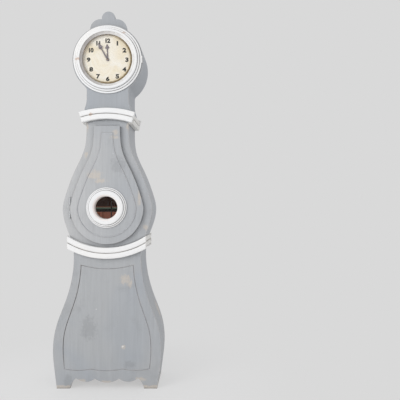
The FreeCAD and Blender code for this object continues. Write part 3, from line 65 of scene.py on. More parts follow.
class Part(Enum):
    """The moving bodies that dressed pieces ride on."""

    CASE = "case"
    TRUNK_DOOR = "trunk_door"
    BEZEL_DOOR = "bezel_door"
    MINUTE = "minute_work"
    HOUR = "hour_work"


class Grain(Enum):
    """Which way the wood and the brush strokes run, as turns about X, Y and Z."""

    UPRIGHT = (0.0, 0.0, 0.0)
    ACROSS = (0.0, math.pi / 2, 0.0)
    DEEP = (math.pi / 2, 0.0, 0.0)


def shown(red: int, green: int, blue: int) -> Colour:
    """The linear colour of a tint given on the 0 to 255 display scale."""

    def linear(level: int) -> float:
        """One channel, from display to linear."""
        share = level / 255
        return share / 12.92 if share <= 0.04045 else ((share + 0.055) / 1.055) ** 2.4

    return linear(red), linear(green), linear(blue)


# Node trees


class Tree:
    """Short calls for building a node tree."""

    def __init__(self, tree: bpy.types.NodeTree) -> None:
        """Keeps the tree to build in."""
        self.tree = tree

    def node(self, kind: str, inputs: Optional[Inputs] = None, **settings: object) -> bpy.types.Node:
        """Adds a node.

        Args:
            kind: Blender's name for the node type.
            inputs: values or sockets for its inputs, by name or number.
            settings: properties of the node.

        Returns:
            The new node.
        """
        made = self.tree.nodes.new(kind)
        for name, setting in settings.items():
            setattr(made, name, setting)
        self.fill(made, inputs or {})
        return made

    def fill(self, node: bpy.types.Node, inputs: Inputs) -> None:
        """Links a node's inputs to sockets, or sets their plain values."""
        for key, value in inputs.items():
            socket = node.inputs[key]
            if isinstance(value, bpy.types.NodeSocket):
                self.tree.links.new(value, socket)
            elif socket.type == "RGBA" and len(value) == 3:
                socket.default_value = (*value, 1.0)
            else:
                socket.default_value = value

    def math(self, operation: str, first: Value, second: Value = 0.0) -> Socket:
        """One sum, such as ADD or MULTIPLY, of two numbers."""
        return self.node("ShaderNodeMath", {0: first, 1: second}, operation=operation).outputs[0]

    def add(self, first: Value, second: Value) -> Socket:
        """Two numbers added."""
        return self.math("ADD", first, second)

    def less(self, first: Value, second: Value) -> Socket:
        """The first number less the second."""
        return self.math("SUBTRACT", first, second)

    def times(self, first: Value, second: Value) -> Socket:
        """Two numbers multiplied."""
        return self.math("MULTIPLY", first, second)

    def larger(self, first: Value, second: Value) -> Socket:
        """The larger of two numbers."""
        return self.math("MAXIMUM", first, second)

    def sloped(self, value: Value, slope: float, start: float) -> Socket:
        """A number that starts at start and rises by slope times the value."""
        return self.add(self.times(value, slope), start)

    def swing(self, value: Value, amount: Value) -> Socket:
        """How far a value swings about a half, times an amount."""
        return self.times(self.less(value, 0.5), amount)

    def vector_math(self, operation: str, first: Value, second: Value) -> bpy.types.Node:
        """One sum of two vectors."""
        return self.node("ShaderNodeVectorMath", {0: first, 1: second}, operation=operation)

    def stretched(self, vector: Value, factors: Triple) -> Socket:
        """A vector times a factor along each axis."""
        return self.vector_math("MULTIPLY", vector, factors).outputs[0]

    def parts(self, vector: Value) -> Sequence[Socket]:
        """A vector's X, Y and Z."""
        return tuple(self.node("ShaderNodeSeparateXYZ", {0: vector}).outputs)

    def length(self, vector: Value) -> Socket:
        """A vector's length."""
        return self.node("ShaderNodeVectorMath", {0: vector}, operation="LENGTH").outputs["Value"]

    def blend(self, share: Value, first: Value, second: Value, how: str = "MIX") -> Socket:
        """Mixes two colours by a share."""
        inputs = {0: share, 6: first, 7: second}
        return self.node("ShaderNodeMix", inputs, data_type="RGBA", blend_type=how).outputs[2]

    def ramp(self, value: Value, low: float, high: float, to_low: float = 0.0,
             to_high: float = 1.0) -> Socket:
        """A smooth step of a value between two levels."""
        inputs = {"Value": value, "From Min": low, "From Max": high, "To Min": to_low, "To Max": to_high}
        return self.node("ShaderNodeMapRange", inputs, interpolation_type="SMOOTHSTEP").outputs["Result"]

    def noise(self, vector: Value, scale: Value, detail: float = 3.0, rough: float = 0.5,
              distort: float = 0.0) -> Socket:
        """Cloudy noise, as a number."""
        inputs = {"Vector": vector, "Scale": scale, "Detail": detail, "Roughness": rough,
                  "Distortion": distort}
        return self.node("ShaderNodeTexNoise", inputs).outputs["Fac"]

    def clouds(self, vector: Value, scale: float, detail: float, rough: float = 0.5, distort: float = 0.0,
               low: float = 0.35, high: float = 0.7, least: float = 0.0, most: float = 1.0) -> Socket:
        """Cloudy noise in patches.

        Args:
            vector: the place to read it at.
            scale: how many clouds stand in a metre.
            detail: how many finer layers it has.
            rough: how strong the finer layers are.
            distort: how far it is stirred.
            low: noise at and under this level gives the least.
            high: noise at and over this level gives the most.
            least: the lowest number.
            most: the highest number.

        Returns:
            The number between least and most.
        """
        return self.ramp(self.noise(vector, scale, detail, rough, distort), low, high, least, most)

    def group(self, group: bpy.types.NodeTree, **inputs: Value) -> bpy.types.bpy_prop_collection:
        """Places a node group, fills its inputs and returns its outputs."""
        return self.node("ShaderNodeGroup", inputs, node_tree=group).outputs


def new_group(name: str, kind: str, inputs: dict[str, str],
              outputs: dict[str, str]) -> tuple[Tree, dict[str, Socket], bpy.types.Node]:
    """An empty node group with its sockets.

    Args:
        name: the group's name.
        kind: Shader or Geometry.
        inputs: the kind of socket for each input's name.
        outputs: the kind of socket for each output's name.

    Returns:
        Its builder, its input sockets by name and its output node.
    """
    group = bpy.data.node_groups.new(name, f"{kind}NodeTree")
    for way, sockets in (("INPUT", inputs), ("OUTPUT", outputs)):
        for label, socket_kind in sockets.items():
            group.interface.new_socket(name=label, in_out=way, socket_type=f"NodeSocket{socket_kind}")
    tree = Tree(group)
    given = {socket.name: socket for socket in tree.node("NodeGroupInput").outputs}
    return tree, given, tree.node("NodeGroupOutput")


# Effects that several finishes share


def new_effect(name: str, *values: str, outputs: Sequence[str] = ("Mask",),
               places: Sequence[str] = ("Vector",)) -> tuple[Tree, dict[str, Socket], bpy.types.Node]:
    """An empty shader effect.

    Args:
        name: the effect's name.
        values: the names of its inputs that are numbers.
        outputs: the names of its outputs, which are numbers.
        places: the names of its inputs that are vectors.

    Returns:
        Its builder, its input sockets by name and its output node.
    """
    inputs = {**dict.fromkeys(places, "Vector"), **dict.fromkeys(values, "Float")}
    return new_group(name, "Shader", inputs, dict.fromkeys(outputs, "Float"))


def brush_strokes() -> bpy.types.NodeTree:
    """Strokes of a brush along Z: a shade about 1 and a height."""
    tree, given, result = new_effect("brush_strokes", "Strength", outputs=("Shade", "Height"))
    broad = tree.noise(tree.stretched(given["Vector"], (70.0, 70.0, 3.5)), 1.0, 3.0, 0.6, 0.4)
    fine = tree.noise(tree.stretched(given["Vector"], (330.0, 330.0, 9.0)), 1.0, 2.0, 0.6)
    height = tree.add(tree.times(broad, 0.6), tree.times(fine, 0.4))
    shade = tree.add(tree.swing(height, given["Strength"]), 1.0)
    tree.fill(result, {"Shade": shade, "Height": height})
    return tree.tree


def worn_edges() -> bpy.types.NodeTree:
    """Where corners are rubbed: a mask from how much a rounded normal differs from the true one."""
    tree, given, result = new_effect("worn_edges", "Radius", "Amount")
    rounded = tree.node("ShaderNodeBevel", {"Radius": given["Radius"]}, samples=6).outputs["Normal"]
    true = tree.node("ShaderNodeNewGeometry").outputs["True Normal"]
    edge = tree.less(1.0, tree.vector_math("DOT_PRODUCT", rounded, true).outputs["Value"])
    chips = tree.noise(given["Vector"], 45.0, 5.0, 0.65)
    gate = tree.noise(given["Vector"], 5.0, 2.0)
    broken = tree.add(tree.times(edge, 6.0), tree.add(chips, gate))
    level = tree.less(1.95, tree.times(given["Amount"], 0.8))
    over = tree.less(broken, level)
    tree.fill(result, {"Mask": tree.times(tree.ramp(over, 0.0, 0.25), tree.ramp(edge, 0.01, 0.06))})
    return tree.tree


def corner_dirt() -> bpy.types.NodeTree:
    """Inner corners darkened by ambient occlusion, as a mask: dirt there together with painted shade."""
    tree, given, result = new_effect("corner_dirt", "Reach", "Amount")
    openness = tree.node("ShaderNodeAmbientOcclusion", {"Distance": given["Reach"]}, samples=8)
    closed = tree.ramp(openness.outputs["AO"], 0.9, 0.35)
    cloud = tree.clouds(given["Vector"], 30.0, 4.0, low=0.3, least=0.5)
    tree.fill(result, {"Mask": tree.times(tree.times(closed, cloud), given["Amount"])})
    return tree.tree


def rubbed_spot() -> bpy.types.NodeTree:
    """One ragged spot where paint has rubbed through, as a mask."""
    tree, given, result = new_effect("rubbed_spot", "Width", "Height", places=("Vector", "Centre"))
    away = tree.vector_math("SUBTRACT", given["Vector"], given["Centre"]).outputs[0]
    sizes = (given["Width"], given["Width"], given["Height"])
    shares = [tree.math("DIVIDE", side, size) for side, size in zip(tree.parts(away), sizes)]
    squares = [tree.times(share, share) for share in shares]
    distance = tree.math("SQRT", tree.add(tree.add(squares[0], squares[1]), squares[2]))
    ragged = tree.swing(tree.noise(given["Vector"], 55.0, 6.0, 0.7), 2.6)
    streaks = tree.stretched(given["Vector"], (160.0, 160.0, 14.0))
    torn = tree.less(tree.noise(streaks, 1.0, 3.0, 0.6), 0.5)
    edge = tree.add(distance, tree.add(ragged, torn))
    tree.fill(result, {"Mask": tree.ramp(edge, 1.15, 0.45)})
    return tree.tree


def bleached() -> bpy.types.NodeTree:
    """Painted light on the trunk: a mask over it, strongest at its left, where the paint is drawn lighter as
    if lit from that side.
    """
    tree, given, result = new_effect("bleached", "Low", "High")
    x, _, z = tree.parts(given["Vector"])
    over = tree.ramp(tree.less(z, given["Low"]), -0.06, 0.12)
    under = tree.ramp(tree.less(given["High"], z), -0.06, 0.2)
    side = tree.ramp(x, 0.1, -0.2, 0.3, 1.0)
    tree.fill(result, {"Mask": tree.times(tree.times(over, under), side)})
    return tree.tree


def bare_foot() -> bpy.types.NodeTree:
    """Paint lost along the lowest edge, as a mask with a ragged upper rim."""
    tree, given, result = new_effect("bare_foot", "Level")
    height = tree.parts(given["Vector"])[2]
    ragged = tree.swing(tree.noise(given["Vector"], 38.0, 5.0, 0.65), 0.03)
    below = tree.less(given["Level"], tree.add(height, ragged))
    tree.fill(result, {"Mask": tree.ramp(below, -0.003, 0.003)})
    return tree.tree


def wood_grain() -> bpy.types.NodeTree:
    """Growth rings drawn out along Z: a dark line mask and a height."""
    tree, given, result = new_effect("wood_grain", "Scale", outputs=("Line", "Height"))
    long = tree.stretched(given["Vector"], (1.0, 1.0, 0.06))
    wander = tree.noise(long, tree.times(given["Scale"], 9.0), 3.0, 0.55, 0.3)
    fibre = tree.noise(long, tree.times(given["Scale"], 420.0), 2.0, 0.7)
    line = tree.ramp(tree.math("SINE", tree.times(wander, 90.0)), 0.1, 1.0)
    tree.fill(result, {"Line": tree.add(tree.times(line, 0.7), tree.times(fibre, 0.3)),
                       "Height": tree.add(tree.times(line, -0.5), fibre)})
    return tree.tree


class Effects:
    """The shared node groups, built once."""

    def __init__(self) -> None:
        """Builds every group."""
        self.strokes = brush_strokes()
        self.edges = worn_edges()
        self.dirt = corner_dirt()
        self.spot = rubbed_spot()
        self.bleached = bleached()
        self.foot = bare_foot()
        self.grain = wood_grain()


def blank(owner: Union[bpy.types.Material, bpy.types.World]) -> bpy.types.NodeTree:
    """The emptied node tree of a material or a world."""
    owner.use_nodes = True
    owner.node_tree.nodes.clear()
    return owner.node_tree


class Coat(Tree):
    """A material under way: its shader, the coordinates to draw on and the shared effects."""

    def __init__(self, name: str, effects: Effects) -> None:
        """Makes the material with its shader and its output.

        Args:
            name: the material's name.
            effects: the shared node groups.
        """
        self.material = bpy.data.materials.new(name)
        super().__init__(blank(self.material))
        self.effects = effects
        self.shader = self.node("ShaderNodeBsdfPrincipled")
        self.output = self.node("ShaderNodeOutputMaterial", {"Surface": self.shader.outputs[0]})
        self.place = self.node("ShaderNodeTexCoord").outputs["Object"]

    def dress(self, inputs: Inputs) -> None:
        """Fills the shader's inputs."""
        self.fill(self.shader, inputs)

    def along(self, grain: Grain) -> Socket:
        """The coordinates turned so that the grain runs along Z."""
        return self.node("ShaderNodeMapping", {"Vector": self.place, "Rotation": grain.value}).outputs[0]

    def raise_surface(self, height: Socket, distance: float, strength: float = 1.0) -> None:
        """Feeds a height to the shader's normal."""
        bump = self.node("ShaderNodeBump", {"Height": height, "Distance": distance, "Strength": strength})
        self.dress({"Normal": bump.outputs[0]})


# Finishes


@dataclass(frozen=True)
class Finish:
    """A finish of the clock, under the name of its material."""

    name: str

    def build(self, effects: Effects) -> bpy.types.Material:
        """Builds the material.

        Args:
            effects: the shared node groups.

        Returns:
            The finished material.
        """
        coat = Coat(self.name, effects)
        self.lay(coat)
        return coat.material

    def lay(self, coat: Coat) -> None:
        """Lays the finish on its coat."""
        raise NotImplementedError


@dataclass(frozen=True)
class Spot:
    """A worn spot: its middle on the clock, in millimetres, and its size."""

    x: float
    y: float
    z: float
    width: float
    height: float


@dataclass(frozen=True)
class WornPaint(Finish):
    """Brushed paint, rubbed through at edges and in spots, with dirt and painted shade in its corners."""

    tint: Colour
    cool_tint: Colour
    dark_tint: Colour
    bare: Colour
    grain: Grain = Grain.UPRIGHT
    stroke: float = 0.12
    edge_wear: float = 0.5
    edge_strength: float = 0.8
    edge_radius: float = 3.5 * MM
    spot_strength: float = 0.55
    smudge: float = 0.12
    smudge_strength: float = 0.33
    speck_strength: float = 0.55
    # how strongly inner corners darken: dirt together with painted shade
    dirt: float = 0.5
    bare_level: float = 0.0
    bare_strength: float = 0.62
    # painted light: a lighter tint over the trunk between two heights, strongest at its left
    pale_tint: Optional[Colour] = None
    pale_low: float = 700 * MM
    pale_high: float = 1450 * MM
    dirt_tint: Optional[Colour] = None
    dirt_reach: float = 16 * MM
    spots: tuple[Spot, ...] = ()
    smudges: tuple[Spot, ...] = ()
    specks: tuple[Spot, ...] = ()
    bump: float = 0.5 * MM

    def lay(self, coat: Coat) -> None:
        """Lays tints, smudges, strokes, wear, specks, and the corners' darkening of dirt and painted shade,
        over each other.
        """
        along = coat.along(self.grain)
        strokes = coat.group(coat.effects.strokes, Vector=along, Strength=self.stroke)
        shade = coat.node("ShaderNodeCombineColor", dict.fromkeys(range(3), strokes["Shade"])).outputs[0]
        colour = coat.blend(1.0, self.ground(coat), shade, "MULTIPLY")
        wear = self.rubbed(coat)
        fleck = coat.clouds(along, 120.0, 5.0, 0.7, high=0.6, least=0.55)
        colour = coat.blend(coat.times(wear, fleck), colour, self.bare)
        colour = self.dabbed(coat, colour, self.specks, WHITE, self.speck_strength)
        # corners darkened towards the dark tint by ambient occlusion: dirt together with painted shade
        dirt = coat.group(coat.effects.dirt, Vector=coat.place, Reach=self.dirt_reach, Amount=self.dirt)
        coat.dress({"Base Color": coat.blend(dirt["Mask"], colour, self.dirt_tint or self.dark_tint),
                    "Roughness": coat.sloped(strokes["Height"], 0.25, 0.42), "Specular IOR Level": 0.35})
        coat.raise_surface(coat.less(strokes["Height"], coat.times(wear, 0.8)), self.bump)

    def ground(self, coat: Coat) -> Socket:
        """The paint's colour: two tints in broad clouds, lightened on the trunk's left as painted light, and
        smudged.
        """
        broad = coat.clouds(coat.place, 2.2, 3.0, 0.5, 0.6, high=0.65)
        colour = coat.blend(broad, self.tint, self.cool_tint)
        # painted light: the trunk's paint drawn lighter towards its left
        if self.pale_tint:
            pale = coat.group(coat.effects.bleached, Vector=coat.place, Low=self.pale_low,
                              High=self.pale_high)
            colour = coat.blend(pale["Mask"], colour, self.pale_tint)
        cloud = coat.clouds(coat.place, 6.5, 5.0, 0.6, 0.8, low=0.52, high=0.78, most=self.smudge)
        colour = coat.blend(cloud, colour, self.dark_tint)
        return self.dabbed(coat, colour, self.smudges, self.dark_tint, self.smudge_strength)

    def dabbed(self, coat: Coat, colour: Socket, spots: Iterable[Spot], tint: Colour,
               strength: float) -> Socket:
        """Dabs another tint on a colour.

        Args:
            coat: the material under way.
            colour: the colour to dab on.
            spots: where to dab.
            tint: the tint to dab with.
            strength: how much of it shows.

        Returns:
            The dabbed colour.
        """
        for spot in spots:
            colour = coat.blend(coat.times(self.spot_mask(coat, spot), strength), colour, tint)
        return colour

    def spot_mask(self, coat: Coat, spot: Spot) -> Socket:
        """The ragged mask of one spot."""
        centre = (spot.x * MM, spot.y * MM, spot.z * MM)
        return coat.group(coat.effects.spot, Vector=coat.place, Centre=centre, Width=spot.width * MM,
                          Height=spot.height * MM)["Mask"]

    def rubbed(self, coat: Coat) -> Socket:
        """The mask of everything rubbed through: edges, spots and the lowest edge together."""
        edges = coat.group(coat.effects.edges, Vector=coat.place, Radius=self.edge_radius,
                           Amount=self.edge_wear)
        mask = coat.times(edges["Mask"], self.edge_strength)
        for spot in self.spots:
            mask = coat.larger(mask, coat.times(self.spot_mask(coat, spot), self.spot_strength))
        if self.bare_level:
            foot = coat.group(coat.effects.foot, Vector=coat.place, Level=self.bare_level)
            mask = coat.larger(mask, coat.times(foot["Mask"], self.bare_strength))
        return mask


@dataclass(frozen=True)
class GroovePaint(Finish):
    """Painted shade down in a groove or an inner wall: one tint at the left, another towards the right,
    darker on the side that faces away from the light.
    """

    at_left: Colour
    at_right: Colour
    left: float = -210 * MM
    right: float = -20 * MM
    dirt_reach: float = 6 * MM
    bump: float = 0.2 * MM

    def lay(self, coat: Coat) -> None:
        """Lays the two tints of painted shade, the second also near the floor, with a ragged change between
        them.
        """
        x, _, z = coat.parts(coat.place)
        right = coat.ramp(x, self.left, self.right, 0.0, 0.75)
        low = coat.ramp(z, 0.2, 0.12, 0.0, 0.8)
        ragged = coat.clouds(coat.place, 28.0, 4.0, 0.6, low=0.4, high=0.6, least=-0.12, most=0.12)
        share = coat.add(coat.larger(right, low), ragged)
        share.node.use_clamp = True
        dirt = coat.group(coat.effects.dirt, Vector=coat.place, Reach=self.dirt_reach, Amount=0.5)
        coat.dress({"Base Color": coat.blend(share, self.at_left, self.at_right),
                    "Roughness": coat.sloped(dirt["Mask"], 0.3, 0.6)})
        coat.raise_surface(coat.noise(coat.place, 240.0, 4.0), self.bump)


@dataclass(frozen=True)
class BareWood(Finish):
    """Old unpainted pine, in another tint above a level where one is given: painted shade on the trunk's
    inside back, painted light along the batten's top.
    """

    pale: Colour
    dark: Colour
    grain: Grain = Grain.UPRIGHT
    shade_above: float = 0.0
    shade: Colour = (0.0, 0.0, 0.0)
    bounce: float = 0.0
    bump: float = 0.4 * MM

    def lay(self, coat: Coat) -> None:
        """Lays grain and stain, and a faint glow for the light that bounces about inside the case."""
        grain = coat.group(coat.effects.grain, Vector=coat.along(self.grain), Scale=1.0)
        stain = coat.clouds(coat.place, 4.0, 4.0)
        colour = coat.blend(grain["Line"], self.pale, self.dark)
        colour = coat.blend(coat.times(stain, 0.4), colour, self.dark)
        if self.shade_above:
            above = coat.less(coat.parts(coat.place)[2], self.shade_above)
            colour = coat.blend(coat.ramp(above, -0.004, 0.006, 0.0, 0.9), colour, self.shade)
        coat.dress({"Base Color": colour, "Roughness": coat.sloped(stain, 0.15, 0.65)})
        if self.bounce:
            coat.dress({"Emission Color": colour, "Emission Strength": self.bounce})
        coat.raise_surface(grain["Height"], self.bump)


@dataclass(frozen=True)
class AgedMetal(Finish):
    """Metal with a dull skin in patches."""

    bright: Colour
    dull: Colour
    roughness: float
    metallic: float = 1.0
    edge_radius: float = 1.0 * MM
    bump: float = 0.1 * MM

    def lay(self, coat: Coat) -> None:
        """Lays the dull skin, rubbed bright at the edges."""
        cloud = coat.clouds(coat.place, 60.0, 6.0, 0.65, 0.5)
        edges = coat.group(coat.effects.edges, Vector=coat.place, Radius=self.edge_radius, Amount=0.8)
        skin = coat.times(cloud, coat.less(1.0, edges["Mask"]))
        coat.dress({"Base Color": coat.blend(skin, self.bright, self.dull),
                    "Roughness": coat.sloped(skin, 0.3, self.roughness), "Metallic": self.metallic})
        coat.raise_surface(coat.noise(coat.place, 700.0, 4.0), self.bump)


@dataclass(frozen=True)
class DialPaint(Finish):
    """Cream dial paint, brown towards its rim and finely specked.

    The brown rim band stands a little off the dial's middle and is strongest at the lower right.
    """

    cream: Colour
    warm: Colour
    rim: Colour
    centre_z: float
    rim_radius: float
    rim_left: float = 3 * MM
    rim_up: float = 4.5 * MM
    tan_width: float = 34 * MM
    line_outer: float = 3 * MM
    line_inner: float = 13 * MM
    bump: float = 0.08 * MM

    def lay(self, coat: Coat) -> None:
        """Lays the cream, its warm clouds, the brown rim band and the specks."""
        middle = (-self.rim_left, 0.0, self.centre_z + self.rim_up)
        x, _, z = coat.parts(coat.vector_math("SUBTRACT", coat.place, middle).outputs[0])
        radius = coat.length(coat.node("ShaderNodeCombineXYZ", {"X": x, "Z": z}).outputs[0])
        wander = coat.swing(coat.noise(coat.place, 22.0, 5.0, 0.6), 0.022)
        cloud = coat.clouds(coat.place, 9.0, 5.0, 0.6, 0.7, low=0.4)
        colour = coat.blend(coat.times(cloud, 0.6), self.cream, self.warm)
        lean = coat.less(x, coat.times(z, 0.7))
        side = coat.ramp(lean, -self.rim_radius, self.rim_radius * 0.8, 0.08, 1.0)
        tan = coat.ramp(coat.add(radius, wander), self.rim_radius - self.tan_width, self.rim_radius, 0.0, 0.6)
        colour = coat.blend(coat.times(tan, side), colour, self.warm)
        line = coat.ramp(coat.add(radius, coat.times(wander, 0.25)), self.rim_radius - self.line_inner,
                         self.rim_radius - self.line_outer, 0.0, 0.95)
        colour = coat.blend(coat.times(line, side), colour, self.rim)
        speck = coat.clouds(coat.place, 420.0, 3.0, 0.8, low=0.62, high=0.72, most=0.35)
        coat.dress({"Base Color": coat.blend(speck, colour, self.rim),
                    "Roughness": coat.sloped(cloud, 0.15, 0.38)})
        coat.raise_surface(coat.noise(coat.place, 300.0, 4.0), self.bump)


@dataclass(frozen=True)
class OldGlass(Finish):
    """Thin, slightly wavy window glass."""

    tint: Colour
    wave: float = 0.15 * MM
    ior: float = 1.2

    def lay(self, coat: Coat) -> None:
        """Makes it clear to the view, with a faint sheen, and lets light through."""
        coat.dress({"Base Color": self.tint, "Transmission Weight": 1.0, "IOR": self.ior,
                    "Specular IOR Level": 0.04,
                    "Roughness": coat.clouds(coat.place, 30.0, 4.0, low=0.4, high=0.8, most=0.04)})
        path = coat.node("ShaderNodeLightPath").outputs
        lit = coat.larger(path["Is Shadow Ray"], path["Is Diffuse Ray"])
        clear = coat.node("ShaderNodeBsdfTransparent", {"Color": self.tint}).outputs[0]
        mixed = coat.node("ShaderNodeMixShader", {0: lit, 1: coat.shader.outputs[0], 2: clear})
        coat.fill(coat.output, {"Surface": mixed.outputs[0]})
        coat.raise_surface(coat.noise(coat.place, 14.0, 1.0), self.wave, 0.4)


@dataclass(frozen=True)
class PrintedBlack(Finish):
    """Black printing on the dial, a little thin in places."""

    ink: Colour
    faded: Colour

    def lay(self, coat: Coat) -> None:
        """Lays the ink and its thin places."""
        fade = coat.clouds(coat.place, 160.0, 5.0, 0.7, low=0.5, high=0.75)
        coat.dress({"Base Color": coat.blend(fade, self.ink, self.faded),
                    "Roughness": coat.sloped(fade, 0.2, 0.45)})


@dataclass
class Finishes:
    """Every finish of the clock, built once."""

    effects: Effects
    made: dict[str, bpy.types.Material] = field(default_factory=dict)

    def take(self, *finishes: Finish) -> list[bpy.types.Material]:
        """The materials of some finishes, each built at its first use."""
        for finish in finishes:
            if finish.name not in self.made:
                self.made[finish.name] = finish.build(self.effects)
        return [self.made[finish.name] for finish in finishes]


# Mesh making


def close_and_shade(work: bmesh.types.BMesh, mesh: bpy.types.Mesh, smooth_angle: float) -> None:
    """Closes a working mesh's seams, turns its faces outward and writes it out, smoothly shaded.

    Args:
        work: the working mesh, which is freed.
        mesh: the mesh to write to.
        smooth_angle: edges sharper than this many degrees stay crisp.
    """
    bmesh.ops.remove_doubles(work, verts=work.verts, dist=WELD)
    bmesh.ops.recalc_face_normals(work, faces=work.faces)
    work.to_mesh(mesh)
    work.free()
    mesh.shade_smooth()
    mesh.set_sharp_from_angle(angle=math.radians(smooth_angle))


def new_object(name: str, data: bpy.types.ID) -> bpy.types.Object:
    """An object of some data, linked to the scene."""
    made = bpy.data.objects.new(name, data)
    bpy.context.scene.collection.objects.link(made)
    return made


def finish_mesh(name: str, work: bmesh.types.BMesh, smooth_angle: float = 35.0) -> bpy.types.Object:
    """Turns a working mesh into an object at the origin, with clean outward normals."""
    mesh = bpy.data.meshes.new(name)
    close_and_shade(work, mesh, smooth_angle)
    return new_object(name, mesh)


def cleaned(thing: bpy.types.Object, smooth_angle: float = 35.0) -> bpy.types.Object:
    """Closes seams, turns faces outward and shades a grown mesh, keeping its material."""
    work = bmesh.new()
    work.from_mesh(thing.data)
    close_and_shade(work, thing.data, smooth_angle)
    return thing


def plain_mesh(thing: bpy.types.Object) -> bpy.types.Mesh:
    """The mesh that an object shows, with its modifiers or its letters made plain."""
    bpy.context.view_layer.update()
    graph = bpy.context.evaluated_depsgraph_get()
    return bpy.data.meshes.new_from_object(thing.evaluated_get(graph))


def applied(thing: bpy.types.Object) -> bpy.types.Object:
    """The same object with its modifiers turned into plain mesh."""
    mesh = plain_mesh(thing)
    thing.modifiers.clear()
    thing.data = mesh
    return thing


def add_bevel(thing: bpy.types.Object, width: float, angle: float = 30.0, miter: str = "MITER_SHARP") -> None:
    """Adds a modifier that rounds edges over with two facets.

    Args:
        thing: the object.
        width: how far each corner is taken back, in metres.
        angle: edges sharper than this many degrees are rounded.
        miter: Blender's name for how outer corners meet.
    """
    bevel = thing.modifiers.new("round_over", "BEVEL")
    bevel.width = width
    bevel.segments = 2
    bevel.limit_method = "ANGLE"
    bevel.angle_limit = math.radians(angle)
    bevel.miter_outer = miter


def softened(node: str, name: str, width: float) -> bpy.types.Object:
    """A frame node's shape with its corners rounded over, as age and paint leave them.

    Args:
        node: the frame node to follow.
        name: the new piece's name.
        width: how far each corner is taken back, in metres.

    Returns:
        The new object.
    """
    work = bmesh.new()
    work.from_mesh(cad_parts[node].data)
    bmesh.ops.remove_doubles(work, verts=work.verts, dist=WELD)
    bmesh.ops.dissolve_limit(work, angle_limit=math.radians(0.3), verts=work.verts, edges=work.edges,
                             use_dissolve_boundaries=False)
    made = finish_mesh(name, work, 30.0)
    add_bevel(made, width, 32, "MITER_ARC")
    weighted = made.modifiers.new("even_shading", "WEIGHTED_NORMAL")
    weighted.keep_sharp = False
    weighted.weight = 90
    return applied(made)


def painted_plain(face: bpy.types.MeshPolygon) -> int:
    """The rule of a piece that has one finish only."""
    return 0


def paint_faces(thing: bpy.types.Object, finishes: Sequence[bpy.types.Material],
                choose: FaceRule = painted_plain) -> None:
    """Gives an object its materials and each face the one that choose says."""
    thing.data.materials.clear()
    for finish in finishes:
        thing.data.materials.append(finish)
    for face in thing.data.polygons:
        face.material_index = choose(face)


def settle(piece: bpy.types.Object, body: Part, nodes: Iterable[str] = ()) -> None:
    """Parents a piece to its body's empty and hides the frame nodes that it stands for.

    Args:
        piece: the finished object.
        body: the body that carries it.
        nodes: the frame nodes that it stands for.
    """
    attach(piece, body.value)
    names = list(nodes)
    if names:
        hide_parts(*names)
    LOG.info("%s rides on %s with %d faces", piece.name, body.value, len(piece.data.polygons))


# Geometry node trees


def stand_and_dress(tree: Tree, given: dict[str, Socket], shape: Socket, result: bpy.types.Node) -> None:
    """The last nodes of a geometry tree: they turn a flat shape to the front and give it its finish.

    Args:
        tree: the tree's builder.
        given: its input sockets, with Centre and Finish among them.
        shape: the flat shape.
        result: the tree's output node.
    """
    stood = tree.node("GeometryNodeTransform", {"Geometry": shape, "Translation": given["Centre"],
                                                "Rotation": (math.pi / 2, 0.0, 0.0)})
    whole = tree.node("GeometryNodeRealizeInstances", {"Geometry": stood.outputs[0]})
    dressed = tree.node("GeometryNodeSetMaterial", {"Geometry": whole.outputs[0],
                                                    "Material": given["Finish"]})
    tree.fill(result, {"Geometry": dressed.outputs[0]})


def sweep_tree() -> bpy.types.NodeTree:
    """Carries a profile along an arc that stands upright and faces the front."""
    tree, given, result = new_group(
        "swept_moulding", "Geometry",
        {"Geometry": "Geometry", "Radius": "Float", "Start": "Float", "Sweep": "Float", "Steps": "Int",
         "Closed": "Bool", "Centre": "Vector", "Finish": "Material"}, {"Geometry": "Geometry"})
    profile = tree.node("GeometryNodeMeshToCurve", {"Mesh": given["Geometry"]}).outputs["Curve"]
    path = tree.node("GeometryNodeCurveArc", {"Resolution": given["Steps"], "Radius": given["Radius"],
                                              "Start Angle": given["Start"], "Sweep Angle": given["Sweep"]},
                     mode="RADIUS")
    joined = tree.node("GeometryNodeSetSplineCyclic", {"Geometry": path.outputs["Curve"],
                                                       "Cyclic": given["Closed"]})
    swept = tree.node("GeometryNodeCurveToMesh", {"Curve": joined.outputs[0], "Profile Curve": profile,
                                                  "Fill Caps": True})
    stand_and_dress(tree, given, swept.outputs[0], result)
    return tree.tree


def ring_of_marks_tree() -> bpy.types.NodeTree:
    """Sets a small mark at even steps round a circle that faces the front."""
    tree, given, result = new_group(
        "ring_of_marks", "Geometry",
        {"Geometry": "Geometry", "Radius": "Float", "Count": "Int", "Centre": "Vector", "Finish": "Material"},
        {"Geometry": "Geometry"})
    circle = tree.node("GeometryNodeCurvePrimitiveCircle", {"Resolution": given["Count"],
                                                            "Radius": given["Radius"]})
    points = tree.node("GeometryNodeCurveToPoints", {"Curve": circle.outputs["Curve"]}, mode="EVALUATED")
    marks = tree.node("GeometryNodeInstanceOnPoints", {"Points": points.outputs["Points"],
                                                       "Instance": given["Geometry"],
                                                       "Rotation": points.outputs["Rotation"]})
    stand_and_dress(tree, given, marks.outputs[0], result)
    return tree.tree


def grow(thing: bpy.types.Object, tree: bpy.types.NodeTree, **inputs: object) -> bpy.types.Object:
    """Runs a geometry tree on an object and keeps the plain result.

    Args:
        thing: the object whose mesh goes in.
        tree: the geometry node tree.
        inputs: its inputs by name.

    Returns:
        The same object, with the grown mesh.
    """
    modifier = thing.modifiers.new("grown", "NODES")
    modifier.node_group = tree
    sockets = {item.name: item.identifier for item in tree.interface.items_tree
               if item.item_type == "SOCKET" and item.in_out == "INPUT"}
    for name, value in inputs.items():
        modifier[sockets[name]] = value
    return applied(thing)


# Sections and what is turned or cut from them


